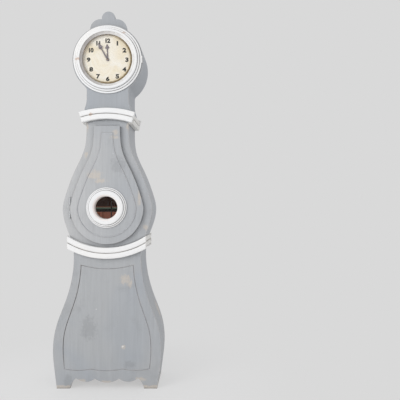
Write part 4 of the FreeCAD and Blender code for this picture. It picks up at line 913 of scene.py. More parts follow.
def profile_object(name: str, points: Sequence[Point]) -> bpy.types.Object:
    """A closed outline of points, in metres, for a geometry tree to carry."""
    mesh = bpy.data.meshes.new(name)
    count = len(points)
    mesh.from_pydata([(x, y, 0.0) for x, y in points], [(i, (i + 1) % count) for i in range(count)], [])
    return new_object(name, mesh)


def round_part(centre: Point, radii: Point, start: float, end: float, steps: int) -> list[Point]:
    """Points of an elliptical arc from start to end, in degrees."""
    points = []
    for step in range(steps + 1):
        angle = math.radians(start + (end - start) * step / steps)
        points.append((centre[0] + radii[0] * math.cos(angle), centre[1] + radii[1] * math.sin(angle)))
    return points


def full_round(centre: Point, radii: Point, start: float, end: float, steps: int,
               fullness: float = 0.55) -> list[Point]:
    """Points of an arc that is flatter on top and rounder at its corners than an ellipse."""
    points = []
    for x, y in round_part((0.0, 0.0), (1.0, 1.0), start, end, steps):
        points.append((centre[0] + radii[0] * math.copysign(abs(x) ** fullness, x),
                       centre[1] + radii[1] * math.copysign(abs(y) ** fullness, y)))
    return points


RING_STEPS = 192
# a section stays far from the middle of the path that carries it
RING_PATH = 50 * MM
RING_CREASE = 40.0
CUT_LINE_WIDTH = 2.1 * MM
# faces this near to the edge of a line or a wall are told apart from it
LINE_SLACK = 0.1 * MM
WALL_SLACK = 0.5 * MM


def turned_ring(name: str, points: Sequence[Point], sweep: bpy.types.NodeTree, middle_z: float,
                finish: bpy.types.Material) -> bpy.types.Object:
    """Turns a section about an axis that faces the front.

    Args:
        name: the new piece's name.
        points: the section, as radius and depth along Y.
        sweep: the geometry tree that carries it.
        middle_z: height of the axis.
        finish: its material.

    Returns:
        The new piece, closed all the way round.
    """
    profile = profile_object(name, [(radius - RING_PATH, depth) for radius, depth in points])
    ring = grow(profile, sweep, Radius=RING_PATH, Start=0.0, Sweep=math.tau * (RING_STEPS - 1) / RING_STEPS,
                Steps=RING_STEPS, Closed=True, Centre=(0.0, 0.0, middle_z), Finish=finish)
    return cleaned(ring, RING_CREASE)


def stepped_rim(outer: float, base: float, widths: Sequence[float], rise: float,
                soft: float = 0.8 * MM, floor_share: float = 0.8) -> list[Point]:
    """Flat steps of a turned section, from its rim inwards, with a line cut at the foot of each rise.

    Args:
        outer: radius of the rim.
        base: depth of the rim's back.
        widths: of each step, from the rim inwards.
        rise: from one step to the next.
        soft: how far each step's outer corner is rounded.
        floor_share: how much of a line's width its flat floor takes.

    Returns:
        The points, as radius and depth.
    """
    points = []
    edge, level = outer, base
    for width in widths:
        level -= rise
        points += round_part((edge - soft, level + soft), (soft, -soft), 0, 90, 3)
        edge -= width
        floor = level + CUT_LINE_WIDTH
        points += [(edge + CUT_LINE_WIDTH, level), (edge + CUT_LINE_WIDTH * floor_share, floor),
                   (edge, floor)]
    return points


def dress_ring(piece: bpy.types.Object, finishes: Sequence[bpy.types.Material], middle_z: float,
               wall: tuple[float, float], lines: Sequence[float]) -> None:
    """Gives a turned ring its paint, its inner wall and its cut lines.

    Args:
        piece: the ring.
        finishes: paint, the wall's painted shade and the cut lines' painted shade.
        middle_z: height of its axis.
        wall: inner and outer radius of the wall.
        lines: radius of each cut line's inner edge.
    """
    def choose(face: bpy.types.MeshPolygon) -> int:
        """Which finish a face takes, by its distance from the axis."""
        radius = math.hypot(face.center.x, face.center.z - middle_z)
        if wall[0] < radius < wall[1]:
            return 1
        return 2 if any(LINE_SLACK < radius - edge < CUT_LINE_WIDTH for edge in lines) else 0

    paint_faces(piece, finishes, choose)


def cut_away(piece: bpy.types.Object, boxes: Iterable[tuple[Vector, Vector]]) -> None:
    """Cuts boxes, given by two corners each, out of a piece."""
    for low, high in boxes:
        work = bmesh.new()
        bmesh.ops.create_cube(work, size=1.0)
        bmesh.ops.scale(work, verts=work.verts, vec=high - low)
        bmesh.ops.translate(work, verts=work.verts, vec=(high + low) / 2)
        cutter = finish_mesh("cutter", work)
        cut = piece.modifiers.new("cut", "BOOLEAN")
        cut.operation = "DIFFERENCE"
        cut.solver = "EXACT"
        cut.object = cutter
        applied(piece)
        bpy.data.objects.remove(cutter)


# The clock's stations, read from the frame


def middle_of(node: str, axis: int) -> float:
    """The middle of a frame node along an axis."""
    low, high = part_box(node)
    return (low[axis] + high[axis]) / 2


HEAD_Z = middle_of("dial_plate", 2)
BELLY_Z = middle_of("window_glass", 2)
FRONT_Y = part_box("base_front_board")[0][1]
BACK_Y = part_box("base_back_board")[1][1]
DIAL_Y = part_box("dial_plate")[0][1]
DOOR_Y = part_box("door_panel")[0][1]
BATTEN_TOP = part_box("back_batten")[1][2]
# above this height the inside of the trunk's back is drawn near black: painted shade
PAINTED_SHADE_LEVEL = 957 * MM

# Tints

GREY = shown(168, 170, 172)
BLUE_GREY = shown(161, 165, 170)
# lighter grey for the painted light on the trunk's left
LEFT_LIT_GREY = shown(181, 182, 183)
DEEP_GREY = shown(132, 134, 136)
# tint that inner corners darken to: dirt together with painted shade
GREY_DIRT_AND_SHADE = shown(98, 99, 101)
TAN = shown(203, 190, 174)
WHITE = shown(235, 234, 232)
COOL_WHITE = shown(229, 230, 231)
# the mouldings' white drawn darker for their side returns: painted shade
SHADED_SIDE_WHITE = shown(222, 221, 217)
# tint of smudges on white paint and of its darkened corners, which are dirt together with painted shade
WHITE_DIRT_AND_SHADE = shown(168, 164, 160)
WHITE_BARE = shown(196, 168, 148)
GREYS = (GREY, BLUE_GREY, DEEP_GREY, TAN)
WHITES = (WHITE, COOL_WHITE, WHITE_DIRT_AND_SHADE, WHITE_BARE)
PINES = (shown(150, 120, 92), shown(98, 70, 52))

# Worn places: the door's lists also serve the boards behind and beside it

DOOR_SPOTS = (
    Spot(110, -105, 1384, 14, 24),
    Spot(48, -128, 1352, 20, 16),
    Spot(42, -128, 1326, 26, 10),
    Spot(-66, -128, 1126, 40, 26),
    Spot(-34, -128, 1096, 38, 14),
    Spot(202, -107, 852, 16, 16),
    Spot(172, -128, 1012, 10, 60),
)
CASE_SPOTS = (
    Spot(96, -110, 572, 34, 30),
    Spot(118, -110, 556, 16, 24),
    Spot(-130, -107, 42, 22, 9),
    Spot(176, -107, 50, 26, 12),
    Spot(0, -107, 36, 30, 7),
    Spot(135, -107, 1444, 12, 16),
    Spot(86, -107, 217, 14, 12),
    Spot(-107, -107, 1385, 7, 26),
    Spot(-113, -107, 1236, 9, 20),
    Spot(256, 70, 400, 26, 110),
    Spot(196, 96, 1000, 22, 70),
    Spot(238, 96, 560, 24, 40),
)
BACK_SPOTS = (
    Spot(-30, 121, 1483, 40, 30),
    Spot(92, 121, 1209, 24, 34),
    Spot(-104, 121, 1055, 34, 36),
    Spot(-72, 121, 1118, 16, 24),
    Spot(128, 121, 208, 44, 58),
    Spot(-20, 121, 420, 60, 12),
    Spot(0, 121, 26, 60, 8),
)
DOOR_SMUDGES = (
    Spot(-150, -107, 905, 16, 60),
    Spot(60, -128, 1180, 40, 50),
)
CASE_SMUDGES = (
    Spot(-96, -107, 318, 46, 70),
    Spot(120, -107, 126, 32, 20),
    Spot(-206, -107, 36, 26, 44),
    Spot(30, 122, 640, 70, 40),
    Spot(-90, 122, 300, 50, 70),
)
DOOR_SPECKS = (
    Spot(34, -128, 1240, 2, 3),
)
CASE_SPECKS = (
    Spot(83, -107, 221, 6, 5),
    Spot(-58, -107, 418, 2.5, 3),
)

# The clock's finishes

CASE_PAINT = WornPaint("grey_case_paint", *GREYS, stroke=0.3, spots=DOOR_SPOTS + CASE_SPOTS + BACK_SPOTS,
                       smudges=DOOR_SMUDGES + CASE_SMUDGES, specks=DOOR_SPECKS + CASE_SPECKS, smudge=0.3,
                       dirt=0.88, dirt_tint=GREY_DIRT_AND_SHADE, bare_level=16 * MM, pale_tint=LEFT_LIT_GREY)
DOOR_PAINT = WornPaint("grey_door_paint", *GREYS, stroke=0.36, spots=DOOR_SPOTS, smudges=DOOR_SMUDGES,
                       specks=DOOR_SPECKS, smudge=0.2, dirt=0.6, dirt_tint=GREY_DIRT_AND_SHADE, pale_tint=LEFT_LIT_GREY,
                       edge_wear=0.2, edge_strength=0.5)
MOULDING_PAINT = WornPaint("white_moulding_paint", *WHITES, grain=Grain.ACROSS, stroke=0.05, edge_wear=0.25,
                           dirt=0.75, spot_strength=0.8,
                           spots=(Spot(-84, -133, 1446, 12, 10), Spot(-160, 150, 752, 40, 8)))
# side returns of the mouldings, in a darker copy of the white as painted shade
SHADED_SIDE_PAINT = WornPaint("white_side_moulding_painted_shade", SHADED_SIDE_WHITE, SHADED_SIDE_WHITE, WHITE_DIRT_AND_SHADE, WHITE_BARE,
                       grain=Grain.DEEP, stroke=0.06, edge_wear=0.25, smudge=0.2, dirt=0.75)
RING_PAINT = WornPaint("white_ring_paint", *WHITES, stroke=0.04, edge_wear=0.1, edge_strength=0.3,
                       smudge=0.08, dirt=0.35, dirt_reach=3 * MM, spot_strength=1.0,
                       spots=(Spot(-152, -120, 1742, 15, 9), Spot(88, -126, 1882, 12, 8)))
# door hinges: grey drawn lighter than the case paint, painted light that offsets the shade round the hinges
LIGHTENED_HINGE_PAINT = WornPaint("grey_painted_iron_lightened", shown(192, 193, 195), shown(186, 188, 190), DEEP_GREY,
                        shown(120, 112, 104), stroke=0.06, edge_wear=0.0, edge_strength=0.2, dirt=0.0)
WHITE_IRON = WornPaint("white_painted_iron", WHITE, COOL_WHITE, WHITE_DIRT_AND_SHADE, shown(176, 160, 146),
                       stroke=0.04, edge_wear=0.0, edge_strength=0.15, dirt=0.3)
# painted shade: grooves, the door's field line, inner walls and cut lines, each darker on the side that faces
# away from the light
GROOVE_SHADE_PAINT = GroovePaint("grey_groove_painted_shade", shown(122, 124, 128), shown(178, 180, 184))
FIELD_LINE_SHADE = GroovePaint("door_field_line_painted_shade", shown(158, 161, 166), shown(192, 194, 197),
                         left=-150 * MM, right=20 * MM)
BEZEL_WALL_SHADE = GroovePaint("bezel_wall_painted_shade", shown(168, 164, 161), WHITE, left=-150 * MM, right=100 * MM)
WINDOW_WALL_SHADE = GroovePaint("window_wall_painted_shade", shown(220, 212, 208), WHITE, left=-72 * MM, right=40 * MM)
CUT_LINE_SHADE = GroovePaint("cut_line_painted_shade", shown(196, 193, 189), shown(62, 59, 56), left=-160 * MM, right=0.0)
PINE = BareWood("aged_pine", *PINES)
PINE_ACROSS = BareWood("aged_pine_across", *PINES, Grain.ACROSS)
# inside back: painted shade above a height, and below it a glow, painted light, over a bright pine tint
PINE_INSIDE = BareWood("pine_with_painted_shade", shown(222, 146, 122), shown(160, 92, 70), shade_above=PAINTED_SHADE_LEVEL,
                       shade=shown(16, 13, 10), bounce=0.2)
# batten: its near-black tint stands in for shade, and the greenish band along its top and its glow are
# painted light
BATTEN_WOOD = BareWood("batten_with_painted_light_and_shade", shown(44, 40, 34), shown(28, 26, 22), Grain.ACROSS,
                       shade_above=BATTEN_TOP - 8 * MM, shade=shown(112, 132, 116), bounce=0.35)
BRASS = AgedMetal("aged_brass", shown(206, 172, 104), shown(134, 104, 58), roughness=0.28)
STEEL = AgedMetal("forged_steel", shown(120, 118, 116), shown(70, 62, 56), roughness=0.42)
HAND_METAL = AgedMetal("grey_hand_metal", shown(130, 119, 124), shown(110, 101, 106), roughness=0.5,
                       metallic=0.15)
GLASS = OldGlass("old_glass", (0.97, 0.99, 0.98))
INK = PrintedBlack("dial_black", shown(24, 21, 20), shown(66, 58, 50))
DIAL_CREAM = DialPaint("dial_cream", shown(244, 233, 225), shown(228, 204, 168), shown(118, 92, 46),
                       centre_z=HEAD_Z, rim_radius=131 * MM)


# The clock's sub-assemblies


@dataclass
class Case:
    """The painted case: its boards and its crest."""

    finishes: Finishes
    corner: float = 1.6 * MM
    grooved_corner: float = 0.7 * MM
    groove_low: float = 70 * MM
    groove_high: float = 670 * MM
    groove_from: float = 0.6 * MM
    groove_to: float = 3.4 * MM
    head_reach: float = 100 * MM

    def build(self) -> None:
        """Builds every board of the case."""
        for level in ("base", "trunk", "head"):
            self.board(f"{level}_front_board", self.front_finish)
            self.board(f"{level}_back_board", lambda face: int(face.normal.y < -0.5))
            for side, sign in (("left", -1), ("right", 1)):
                self.board(f"{level}_side_{side}", lambda face, s=sign: int(self.is_inside(face, s)))
        self.board("crest", painted_plain)
        self.inside()

    def front_finish(self, face: bpy.types.MeshPolygon) -> int:
        """Bare behind, painted shade in the groove, painted elsewhere."""
        if face.normal.y > 0.5:
            return 1
        in_groove = self.groove_from < face.center.y - FRONT_Y < self.groove_to
        return 2 if in_groove and self.groove_low < face.center.z < self.groove_high else 0

    def is_inside(self, face: bpy.types.MeshPolygon, sign: int) -> bool:
        """Whether a side board's face looks into the case.

        Args:
            face: the face.
            sign: -1 for a left board, 1 for a right one.

        Returns:
            True where it does.
        """
        inward = Vector((-sign, 0, 0))
        if face.center.z > HEAD_Z - self.head_reach:
            inward = Vector((-face.center.x, 0, HEAD_Z - face.center.z)).normalized()
        return face.normal.dot(inward) > 0.2

    def board(self, node: str, choose: FaceRule) -> None:
        """One board: painted outside, bare where choose says 1."""
        corner = self.grooved_corner if node == "base_front_board" else self.corner
        piece = softened(node, f"{node}_worn", corner)
        bare = PINE_INSIDE if node == "trunk_back_board" else PINE
        paint_faces(piece, self.finishes.take(CASE_PAINT, bare, GROOVE_SHADE_PAINT), choose)
        settle(piece, Part.CASE, [node])

    def inside(self) -> None:
        """The bare boards inside, rounded over a little."""
        for node, finish in (("bottom_board", PINE_ACROSS), ("back_batten", BATTEN_WOOD),
                             ("seat_board", PINE_ACROSS), ("seat_board_cleats", PINE_ACROSS)):
            piece = softened(node, f"{node}_worn", self.corner)
            paint_faces(piece, self.finishes.take(finish))
            settle(piece, Part.CASE, [node])


@dataclass(frozen=True)
class Bend:
    """How a moulding bends.

    Args:
        level: neck or waist.
        radius: of its arc at mid height, in metres.
        middle_z: height of the arc's middle.
        up: 1 where it arches up, -1 where it hangs down.
        half_length: from the middle to the end.
        trimmed: whether its ends are cut upright.
    """

    level: str
    radius: float
    middle_z: float
    up: int
    half_length: float
    trimmed: bool


@dataclass
class Mouldings:
    """The white double-banded mouldings round the neck and the waist."""

    finishes: Finishes
    sweep: bpy.types.NodeTree
    height: float = 58 * MM
    projection: float = 26 * MM
    edge: float = 19 * MM
    groove: float = 3 * MM
    groove_floor: float = 17.5 * MM
    end_round: float = 1.2 * MM
    return_round: float = 0.8 * MM
    spare_share: float = 1.5
    steps: int = 96

    def profile(self) -> list[Point]:
        """The section: across the moulding, and minus its rise from the case."""
        half, lip = self.height / 2, self.groove / 2
        middle, reach = (half + lip) / 2, (half - lip) / 2
        rise = self.projection - self.edge
        lower, upper = (full_round((side * middle, -self.edge), (reach, rise), 180, 360, 16)
                        for side in (-1, 1))
        floor = [(-lip, -self.groove_floor), (lip, -self.groove_floor)]
        return [(-half, 0.0), *lower, *floor, *upper, (half, 0.0)]

    def run(self, node: str, bend: Bend) -> None:
        """One bent moulding on the front or the back."""
        spread = math.asin(bend.half_length / bend.radius) * (self.spare_share if bend.trimmed else 1.0)
        at_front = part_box(node)[0][1] < 0
        centre = (0.0, FRONT_Y if at_front else 0.0, bend.middle_z - bend.up * bend.radius)
        piece = grow(profile_object(f"{node}_run", self.profile()), self.sweep, Radius=bend.radius,
                     Start=bend.up * math.pi / 2 - spread, Sweep=2 * spread, Steps=self.steps, Centre=centre,
                     Finish=self.finishes.take(MOULDING_PAINT)[0])
        if not at_front:
            piece.data.transform(Matrix.Translation((0, BACK_Y, 0)) @ Matrix.Rotation(math.pi, 4, "Z"))
        if bend.trimmed:
            self.trim(piece, bend.half_length)
        add_bevel(cleaned(piece), self.end_round, 50)
        settle(applied(piece), Part.CASE, [node])

    def trim(self, piece: bpy.types.Object, half_length: float) -> None:
        """Cuts both ends upright and closes them."""
        work = bmesh.new()
        work.from_mesh(piece.data)
        for side in (-1, 1):
            geometry = work.verts[:] + work.edges[:] + work.faces[:]
            cut = bmesh.ops.bisect_plane(work, geom=geometry, plane_co=(side * half_length, 0, 0),
                                         plane_no=(side, 0, 0), clear_outer=True)
            rim = [item for item in cut["geom_cut"] if isinstance(item, bmesh.types.BMEdge)]
            bmesh.ops.edgeloop_fill(work, edges=rim)
        work.to_mesh(piece.data)
        work.free()

    def build(self) -> None:
        """Front and back arcs by the sweep, and the returns along the sides."""
        waist_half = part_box("waist_moulding_right")[1][0]
        neck = Bend("neck", radius=458 * MM, middle_z=1452 * MM, up=1, half_length=139 * MM, trimmed=False)
        waist = Bend("waist", radius=400 * MM, middle_z=715 * MM, up=-1, half_length=waist_half,
                     trimmed=True)
        for bend in (neck, waist):
            for face in ("front", "back"):
                self.run(f"{bend.level}_moulding_{face}", bend)
        for level in ("neck", "waist"):
            for side in ("left", "right"):
                node = f"{level}_moulding_{side}"
                piece = softened(node, f"{node}_run", self.return_round)
                paint_faces(piece, self.finishes.take(SHADED_SIDE_PAINT))
                settle(piece, Part.CASE, [node])


@dataclass
class TurnedRing:
    """What the window ring and the bezel share: a stepped rim, a broad round and a wall to the glass."""

    finishes: Finishes
    sweep: bpy.types.NodeTree
    sight: float
    rebate: float
    crest: float
    inner_crest: float
    bead_widths: tuple[float, ...]
    bead_rise: float
    shoulder_share: float

    def rim(self, outer: float, base: float, front: float) -> list[Point]:
        """The stepped rim and the broad round.

        Args:
            outer: radius of the rim.
            base: depth of the rim's back.
            front: depth of the crest.

        Returns:
            The points, as radius and depth.
        """
        foot = outer - sum(self.bead_widths)
        shoulder = base - self.shoulder_share * self.bead_rise
        points = stepped_rim(outer, base, self.bead_widths, self.bead_rise)
        return points + round_part((self.crest, shoulder), (foot - self.crest, front - shoulder), 0, 90, 10)

    def lines(self, outer: float) -> list[float]:
        """The radius of each cut line's inner edge."""
        return [outer - reach for reach in accumulate(self.bead_widths)]


@dataclass
class TrunkDoor(TurnedRing):
    """The pear-shaped door with its turned window."""

    sight: float = 58 * MM
    rebate: float = 66.5 * MM
    crest: float = 84 * MM
    inner_crest: float = 75 * MM
    bead_widths: tuple[float, ...] = (7.4 * MM, 8.4 * MM)
    bead_rise: float = 6 * MM
    shoulder_share: float = 2.3
    ring_radius: float = 106 * MM
    spigot: float = 77.5 * MM
    hollow: float = 5 * MM
    lip: float = 2 * MM
    line_width: float = 3.2 * MM
    line_depth: float = 1.8 * MM
    line_from: float = 0.3 * MM
    level_slack: float = 0.05 * MM
    corner: float = 1.4 * MM

    def build(self) -> None:
        """Builds the panel and its window ring."""
        panel = softened("door_panel", "door_panel_worn", self.corner)
        self.score_field(panel)
        paint_faces(panel, self.finishes.take(DOOR_PAINT, PINE, FIELD_LINE_SHADE), self.panel_finish)
        settle(panel, Part.TRUNK_DOOR, ["door_panel"])
        self.ring()

    def score_field(self, panel: bpy.types.Object) -> None:
        """Cuts a fine line just inside the field's edge."""
        work = bmesh.new()
        work.from_mesh(panel.data)
        field = [face for face in work.faces
                 if face.normal.y < -0.99 and face.calc_center_median().y < DOOR_Y + self.level_slack]
        for depth in (0.0, -self.line_depth, self.line_depth):
            bmesh.ops.inset_region(work, faces=field, thickness=self.line_width / 2, depth=depth,
                                   use_even_offset=True, use_boundary=True)
        work.to_mesh(panel.data)
        work.free()

    def panel_finish(self, face: bpy.types.MeshPolygon) -> int:
        """Bare behind, painted shade in the field's line, painted elsewhere."""
        if face.normal.y > 0.5:
            return 1
        scored = DOOR_Y + self.line_from < face.center.y < DOOR_Y + self.line_depth
        return 2 if scored and 0.2 < abs(face.normal.y) < 0.95 else 0

    def ring(self) -> None:
        """The turned ring: steps at its rim, a broad round and a hollow down to the glass."""
        low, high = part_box("window_ring")
        back, front = high[1], low[1]
        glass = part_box("window_glass")[0][1]
        sight, outer = self.sight, self.ring_radius
        points = [(self.rebate, back), (self.spigot, back), (self.spigot, DOOR_Y), (outer, DOOR_Y)]
        points += self.rim(outer, DOOR_Y, front)
        points += round_part((self.inner_crest, front + self.hollow),
                             (self.inner_crest - sight - self.lip, -self.hollow), 90, 160, 6)
        points += [(sight, DOOR_Y - self.lip), (sight, glass), (self.rebate, glass)]
        finishes = self.finishes.take(RING_PAINT, WINDOW_WALL_SHADE, CUT_LINE_SHADE)
        ring = turned_ring("window_ring_turned", points, self.sweep, BELLY_Z, finishes[0])
        dress_ring(ring, finishes, BELLY_Z, (sight - WALL_SLACK, self.inner_crest - self.hollow),
                   self.lines(outer))
        settle(ring, Part.TRUNK_DOOR, ["window_ring"])


@dataclass
class BezelDoor(TurnedRing):
    """The turned bezel over the dial."""

    sight: float = 132 * MM
    rebate: float = 139.5 * MM
    crest: float = 155.5 * MM
    inner_crest: float = 147 * MM
    bead_widths: tuple[float, ...] = (11.3 * MM, 10.5 * MM)
    bead_rise: float = 5 * MM
    shoulder_share: float = 2.5
    brow: tuple[float, float] = (3 * MM, 4 * MM)
    lip: float = 2 * MM
    hinge_half: float = 19.7 * MM
    knuckle_room: float = 4.5 * MM
    notch_reach: float = 20 * MM
    notch_front: float = 40 * MM
    bed_from: float = 30.2 * MM
    bed_to: float = 4 * MM
    bed_depth: float = 1.5 * MM
    bed_back: float = 10 * MM
    bed_slack: float = 0.01 * MM

    def build(self) -> None:
        """A turned ring with two steps, a broad flat round and a wall down to the glass."""
        low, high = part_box("bezel_ring")
        back, front, radius = high[1], low[1], -low[0]
        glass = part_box("bezel_glass")[0][1]
        points = [(self.rebate, back), (radius, back), *self.rim(radius, back, front)]
        brow_width, brow_fall = self.brow
        points += round_part((self.inner_crest, front + brow_fall), (brow_width, -brow_fall), 90, 170, 6)
        points += [(self.sight, glass - self.lip), (self.sight, glass), (self.rebate, glass)]
        finishes = self.finishes.take(RING_PAINT, BEZEL_WALL_SHADE, CUT_LINE_SHADE)
        ring = turned_ring("bezel_ring_turned", points, self.sweep, HEAD_Z, finishes[0])
        cut_away(ring, self.hinge_room(back))
        cleaned(ring, RING_CREASE)
        dress_ring(ring, finishes, HEAD_Z, (self.sight - WALL_SLACK, self.inner_crest - WALL_SLACK),
                   self.lines(radius))
        settle(ring, Part.BEZEL_DOOR, ["bezel_ring"])

    def hinge_room(self, back: float) -> list[tuple[Vector, Vector]]:
        """The notch for the knuckles and the bed for the leaf, as two corners each."""
        hinge_x = middle_of("bezel_hinge_pin", 0)
        half = self.hinge_half
        bed_half = half - self.bed_slack
        notch = (Vector((hinge_x - self.knuckle_room, back - self.notch_front, HEAD_Z - half)),
                 Vector((hinge_x + self.notch_reach, back + self.notch_reach, HEAD_Z + half)))
        bed = (Vector((hinge_x - self.bed_from, back - self.bed_depth, HEAD_Z - bed_half)),
               Vector((hinge_x - self.bed_to, back + self.bed_back, HEAD_Z + bed_half)))
        return [notch, bed]


@dataclass
class Dial:
    """The dial's printing: numerals and the minute track."""

    finishes: Finishes
    marks: bpy.types.NodeTree
    numeral_radius: float = 102 * MM
    numeral_height: float = 24.5 * MM
    size_share: float = 0.7
    spacing: float = 0.92
    stretch_of_one: float = 1.22
    stretch_of_two: float = 1.02
    boldness: float = 2.1 * MM
    track_radius: float = 124 * MM
    minute_dot: float = 0.75 * MM
    five_minute_dot: float = 1.5 * MM
    print_rise: float = 0.12 * MM

    def build(self) -> None:
        """Builds the printing on the dial's face."""
        self.numerals()
        self.track("minute_track", 60, self.minute_dot)
        self.track("five_minute_track", 12, self.five_minute_dot)

    def numerals(self) -> None:
        """Twelve upright numerals as one thin mesh."""
        work = bmesh.new()
        for hour in range(1, 13):
            angle = math.radians(30 * hour)
            place = (self.numeral_radius * math.sin(angle), self.numeral_radius * math.cos(angle))
            self.add_numeral(work, str(hour), place)
        piece = finish_mesh("dial_numerals", work)
        paint_faces(piece, self.finishes.take(INK))
        settle(piece, Part.CASE)

    def add_numeral(self, work: bmesh.types.BMesh, text: str, place: Point) -> None:
        """Adds one numeral, centred on its place.

        Args:
            work: the mesh to add to.
            text: the number to write.
            place: its x and its height above the dial's middle.
        """
        curve = bpy.data.curves.new("numeral", "FONT")
        curve.body = text
        curve.size = self.numeral_height / self.size_share
        curve.bevel_depth = self.boldness
        curve.bevel_resolution = 0
        curve.space_character = self.spacing
        letter = new_object("numeral", curve)
        mesh = plain_mesh(letter)
        xs = [v.co.x for v in mesh.vertices]
        ys = [v.co.y for v in mesh.vertices]
        centre = Vector(((min(xs) + max(xs)) / 2, (min(ys) + max(ys)) / 2, 0))
        stand = Matrix.Rotation(math.pi / 2, 4, "X")
        move = Matrix.Translation((place[0], DIAL_Y - self.print_rise / 2, HEAD_Z + place[1]))
        fit = self.numeral_height / (max(ys) - min(ys))
        flat = self.print_rise / (2 * self.boldness)
        stretch = self.stretch_of_one if len(text) == 1 else self.stretch_of_two
        fitted = Matrix.Diagonal((fit * stretch, fit, flat, 1.0))
        mesh.transform(move @ stand @ fitted @ Matrix.Translation(-centre))
        work.from_mesh(mesh)
        bpy.data.objects.remove(letter)

    def track(self, name: str, count: int, radius: float) -> None:
        """A ring of printed dots.

        Args:
            name: the new piece's name.
            count: how many dots.
            radius: of each dot.
        """
        work = bmesh.new()
        bmesh.ops.create_cone(work, cap_ends=True, segments=12, radius1=radius, radius2=radius,
                              depth=self.print_rise)
        dot = finish_mesh(name, work)
        grow(dot, self.marks, Radius=self.track_radius, Count=count,
             Centre=(0.0, DIAL_Y - self.print_rise / 2, HEAD_Z), Finish=self.finishes.take(INK)[0])
        settle(cleaned(dot), Part.CASE)


@dataclass(frozen=True)
class Hand:
    """One spade hand.

    Args:
        node: the frame node to stand for.
        body: the body that carries it.
        angle: clockwise from twelve, in degrees.
        length: from the middle to the point.
        tip_length: of the arrow.
        boss: the boss's radius.
        tip_width: across the arrow.
        shaft_foot: half the shaft's width at the boss.
        shaft_top: half its width under the collar.
        collar: half the collar's width.
        neck: half the width between collar and arrow.
    """

    node: str
    body: Part
    angle: float
    length: float
    tip_length: float
    boss: float
    tip_width: float = 24 * MM
    shaft_foot: float = 3.8 * MM
    shaft_top: float = 2.6 * MM
    collar: float = 4.8 * MM
    neck: float = 3 * MM

    def outlines(self) -> list[list[Point]]:
        """The hand's outline and its boss's, as x and height above the middle."""
        foot = self.length - self.tip_length
        wide, long = self.tip_width, self.tip_length
        right = [(self.shaft_foot, self.boss * 0.7), (self.shaft_top, foot - 4 * MM),
                 (self.collar, foot - 3 * MM), (self.collar, foot - 1 * MM), (self.neck, foot),
                 (wide / 2, foot + 3 * MM), (wide * 0.42, foot + long * 0.3),
                 (wide * 0.2, foot + long * 0.68), (0.0, self.length)]
        left = [(-x, z) for x, z in reversed(right[:-1])]
        return [right + left, round_part((0.0, 0.0), (self.boss, self.boss), 70, -250, 28)[:-1]]


@dataclass
class Hands:
    """The two hands, set to five minutes to twelve."""

    finishes: Finishes
    filed: float = 0.3 * MM

    def build(self) -> None:
        """Builds both hands in the frame nodes' places."""
        self.forge(Hand("hour_hand", Part.HOUR, angle=-2.5, length=84 * MM, tip_length=26 * MM,
                        boss=8 * MM))
        self.forge(Hand("minute_hand", Part.MINUTE, angle=-30.0, length=104 * MM, tip_length=36 * MM,
                        boss=7.4 * MM))

    def forge(self, hand: Hand) -> None:
        """One hand: a boss, a tapering shaft and a leaf-shaped arrow."""
        low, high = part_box(hand.node)
        work = bmesh.new()
        for outline in hand.outlines():
            face = work.faces.new([work.verts.new((x, 0.0, z)) for x, z in outline])
            grown = bmesh.ops.extrude_face_region(work, geom=[face])
            moved = [item for item in grown["geom"] if isinstance(item, bmesh.types.BMVert)]
            bmesh.ops.translate(work, verts=moved, vec=(0.0, high[1] - low[1], 0.0))
        piece = finish_mesh(f"{hand.node}_forged", work)
        turn = Matrix.Rotation(math.radians(hand.angle), 4, "Y")
        piece.data.transform(Matrix.Translation((0, low[1], HEAD_Z)) @ turn)
        paint_faces(piece, self.finishes.take(HAND_METAL))
        add_bevel(piece, self.filed)
        settle(applied(piece), hand.body, [hand.node])


@dataclass
class KeptNodes:
    """Frame nodes whose shapes stay and which only need their finish."""

    finishes: Finishes

    def build(self) -> None:
        """Dresses every kept node."""
        brass = ("movement_front_plate movement_back_plate movement_pillars hour_wheel minute_wheel "
                 "line_drum pendulum_bob rating_nut great_wheel centre_wheel third_wheel escape_wheel")
        steel = "back_cock minute_wheel_stud cannon_pinion anchor_and_crutch pendulum_rod"
        hinges = "door_hinge_fixed_leaf door_hinge_moving_leaf door_hinge_pin"
        small_hinge = "bezel_hinge_fixed_leaf bezel_hinge_moving_leaf bezel_hinge_pin"
        for names, finish in ((brass, BRASS), (steel, STEEL), ("dial_plate", DIAL_CREAM),
                              (hinges, LIGHTENED_HINGE_PAINT), (small_hinge, WHITE_IRON), ("hand_nut", HAND_METAL),
                              ("window_glass bezel_glass", GLASS),
                              ("window_glass_retainer bezel_glass_retainer", PINE)):
            for name in names.split():
                self.dress(name, finish)

    def dress(self, name: str, finish: Finish) -> None:
        """Gives one node its material."""
        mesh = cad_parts[name].data
        mesh.materials.clear()
        mesh.materials.append(self.finishes.take(finish)[0])
        LOG.info("%s keeps its shape and takes %s", name, finish.name)


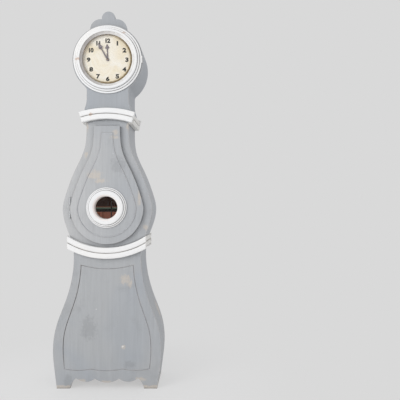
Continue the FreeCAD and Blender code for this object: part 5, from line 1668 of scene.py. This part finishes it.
@dataclass
class Studio:
    """Floor, backdrop, lamps and camera."""

    backdrop: Colour = (0.694, 0.694, 0.694)
    sky: Colour = (0.99, 0.99, 1.0)
    sky_strength: float = 0.76
    floor_tint: Colour = (0.86, 0.86, 0.86)
    floor_half: float = 12.0
    camera_place: Triple = (0.491, -2.4335, 0.9726)
    camera_tilt: float = 0.56
    focal: float = 39.5
    aim: Triple = (0.0, 0.0, 1.0)

    def build(self) -> None:
        """Builds the whole set."""
        self.world()
        self.floor()
        self.lamp("key_lamp", (-2.6, -2.7, 2.3), size=2.2, power=62.0)
        self.lamp("fill_lamp", (2.6, -2.6, 1.6), size=2.4, power=13.0)
        self.camera()

    def world(self) -> None:
        """An even surrounding light that shows as the backdrop's grey."""
        world = bpy.data.worlds.new("studio")
        bpy.context.scene.world = world
        tree = Tree(blank(world))
        path = tree.node("ShaderNodeLightPath").outputs
        seen = tree.larger(path["Is Camera Ray"], path["Is Transmission Ray"])
        light = tree.node("ShaderNodeBackground", {"Color": self.sky, "Strength": self.sky_strength})
        back = tree.node("ShaderNodeBackground", {"Color": self.backdrop, "Strength": 1.0})
        mixed = tree.node("ShaderNodeMixShader", {0: seen, 1: light.outputs[0], 2: back.outputs[0]})
        tree.node("ShaderNodeOutputWorld", {"Surface": mixed.outputs[0]})

    def floor(self) -> None:
        """A pale floor that fades into the backdrop."""
        work = bmesh.new()
        bmesh.ops.create_grid(work, x_segments=1, y_segments=1, size=self.floor_half)
        floor = finish_mesh("studio_floor", work)
        material = bpy.data.materials.new("pale_floor")
        tree = Tree(blank(material))
        away = tree.length(tree.node("ShaderNodeTexCoord").outputs["Object"])
        path = tree.node("ShaderNodeLightPath").outputs["Is Camera Ray"]
        share = tree.times(tree.ramp(away, 0.35, 1.1, 0.7, 1.0), path)
        matt = tree.node("ShaderNodeBsdfDiffuse", {"Color": self.floor_tint})
        glow = tree.node("ShaderNodeEmission", {"Color": self.backdrop})
        mixed = tree.node("ShaderNodeMixShader", {0: share, 1: matt.outputs[0], 2: glow.outputs[0]})
        tree.node("ShaderNodeOutputMaterial", {"Surface": mixed.outputs[0]})
        floor.data.materials.append(material)

    def lamp(self, name: str, place: Triple, size: float, power: float) -> None:
        """A soft square lamp aimed at the clock's middle.

        Args:
            name: the lamp's name.
            place: where it hangs, in metres.
            size: its side, in metres.
            power: in watts.
        """
        lamp = bpy.data.lights.new(name, "AREA")
        lamp.size = size
        lamp.energy = power
        made = new_object(name, lamp)
        made.location = place
        made.rotation_euler = (Vector(self.aim) - Vector(place)).to_track_quat("-Z", "Y").to_euler()

    def camera(self) -> None:
        """The camera where the photograph was taken."""
        lens = bpy.data.cameras.new("camera")
        lens.lens = self.focal
        lens.sensor_width = 36.0
        lens.clip_start = 0.05
        made = new_object("camera", lens)
        made.location = self.camera_place
        made.rotation_euler = (math.radians(90 + self.camera_tilt), 0.0, 0.0)
        bpy.context.scene.camera = made


def main() -> None:
    """Builds the clock and its studio, in order."""
    logging.basicConfig(level=logging.INFO, format="%(name)s: %(message)s")
    bpy.context.scene.view_settings.view_transform = "Standard"
    finishes = Finishes(Effects())
    sweep, marks = sweep_tree(), ring_of_marks_tree()
    Case(finishes).build()
    Mouldings(finishes, sweep).build()
    TrunkDoor(finishes, sweep).build()
    BezelDoor(finishes, sweep).build()
    Dial(finishes, marks).build()
    Hands(finishes).build()
    KeptNodes(finishes).build()
    Studio().build()


if __name__ == "__main__":
    main()
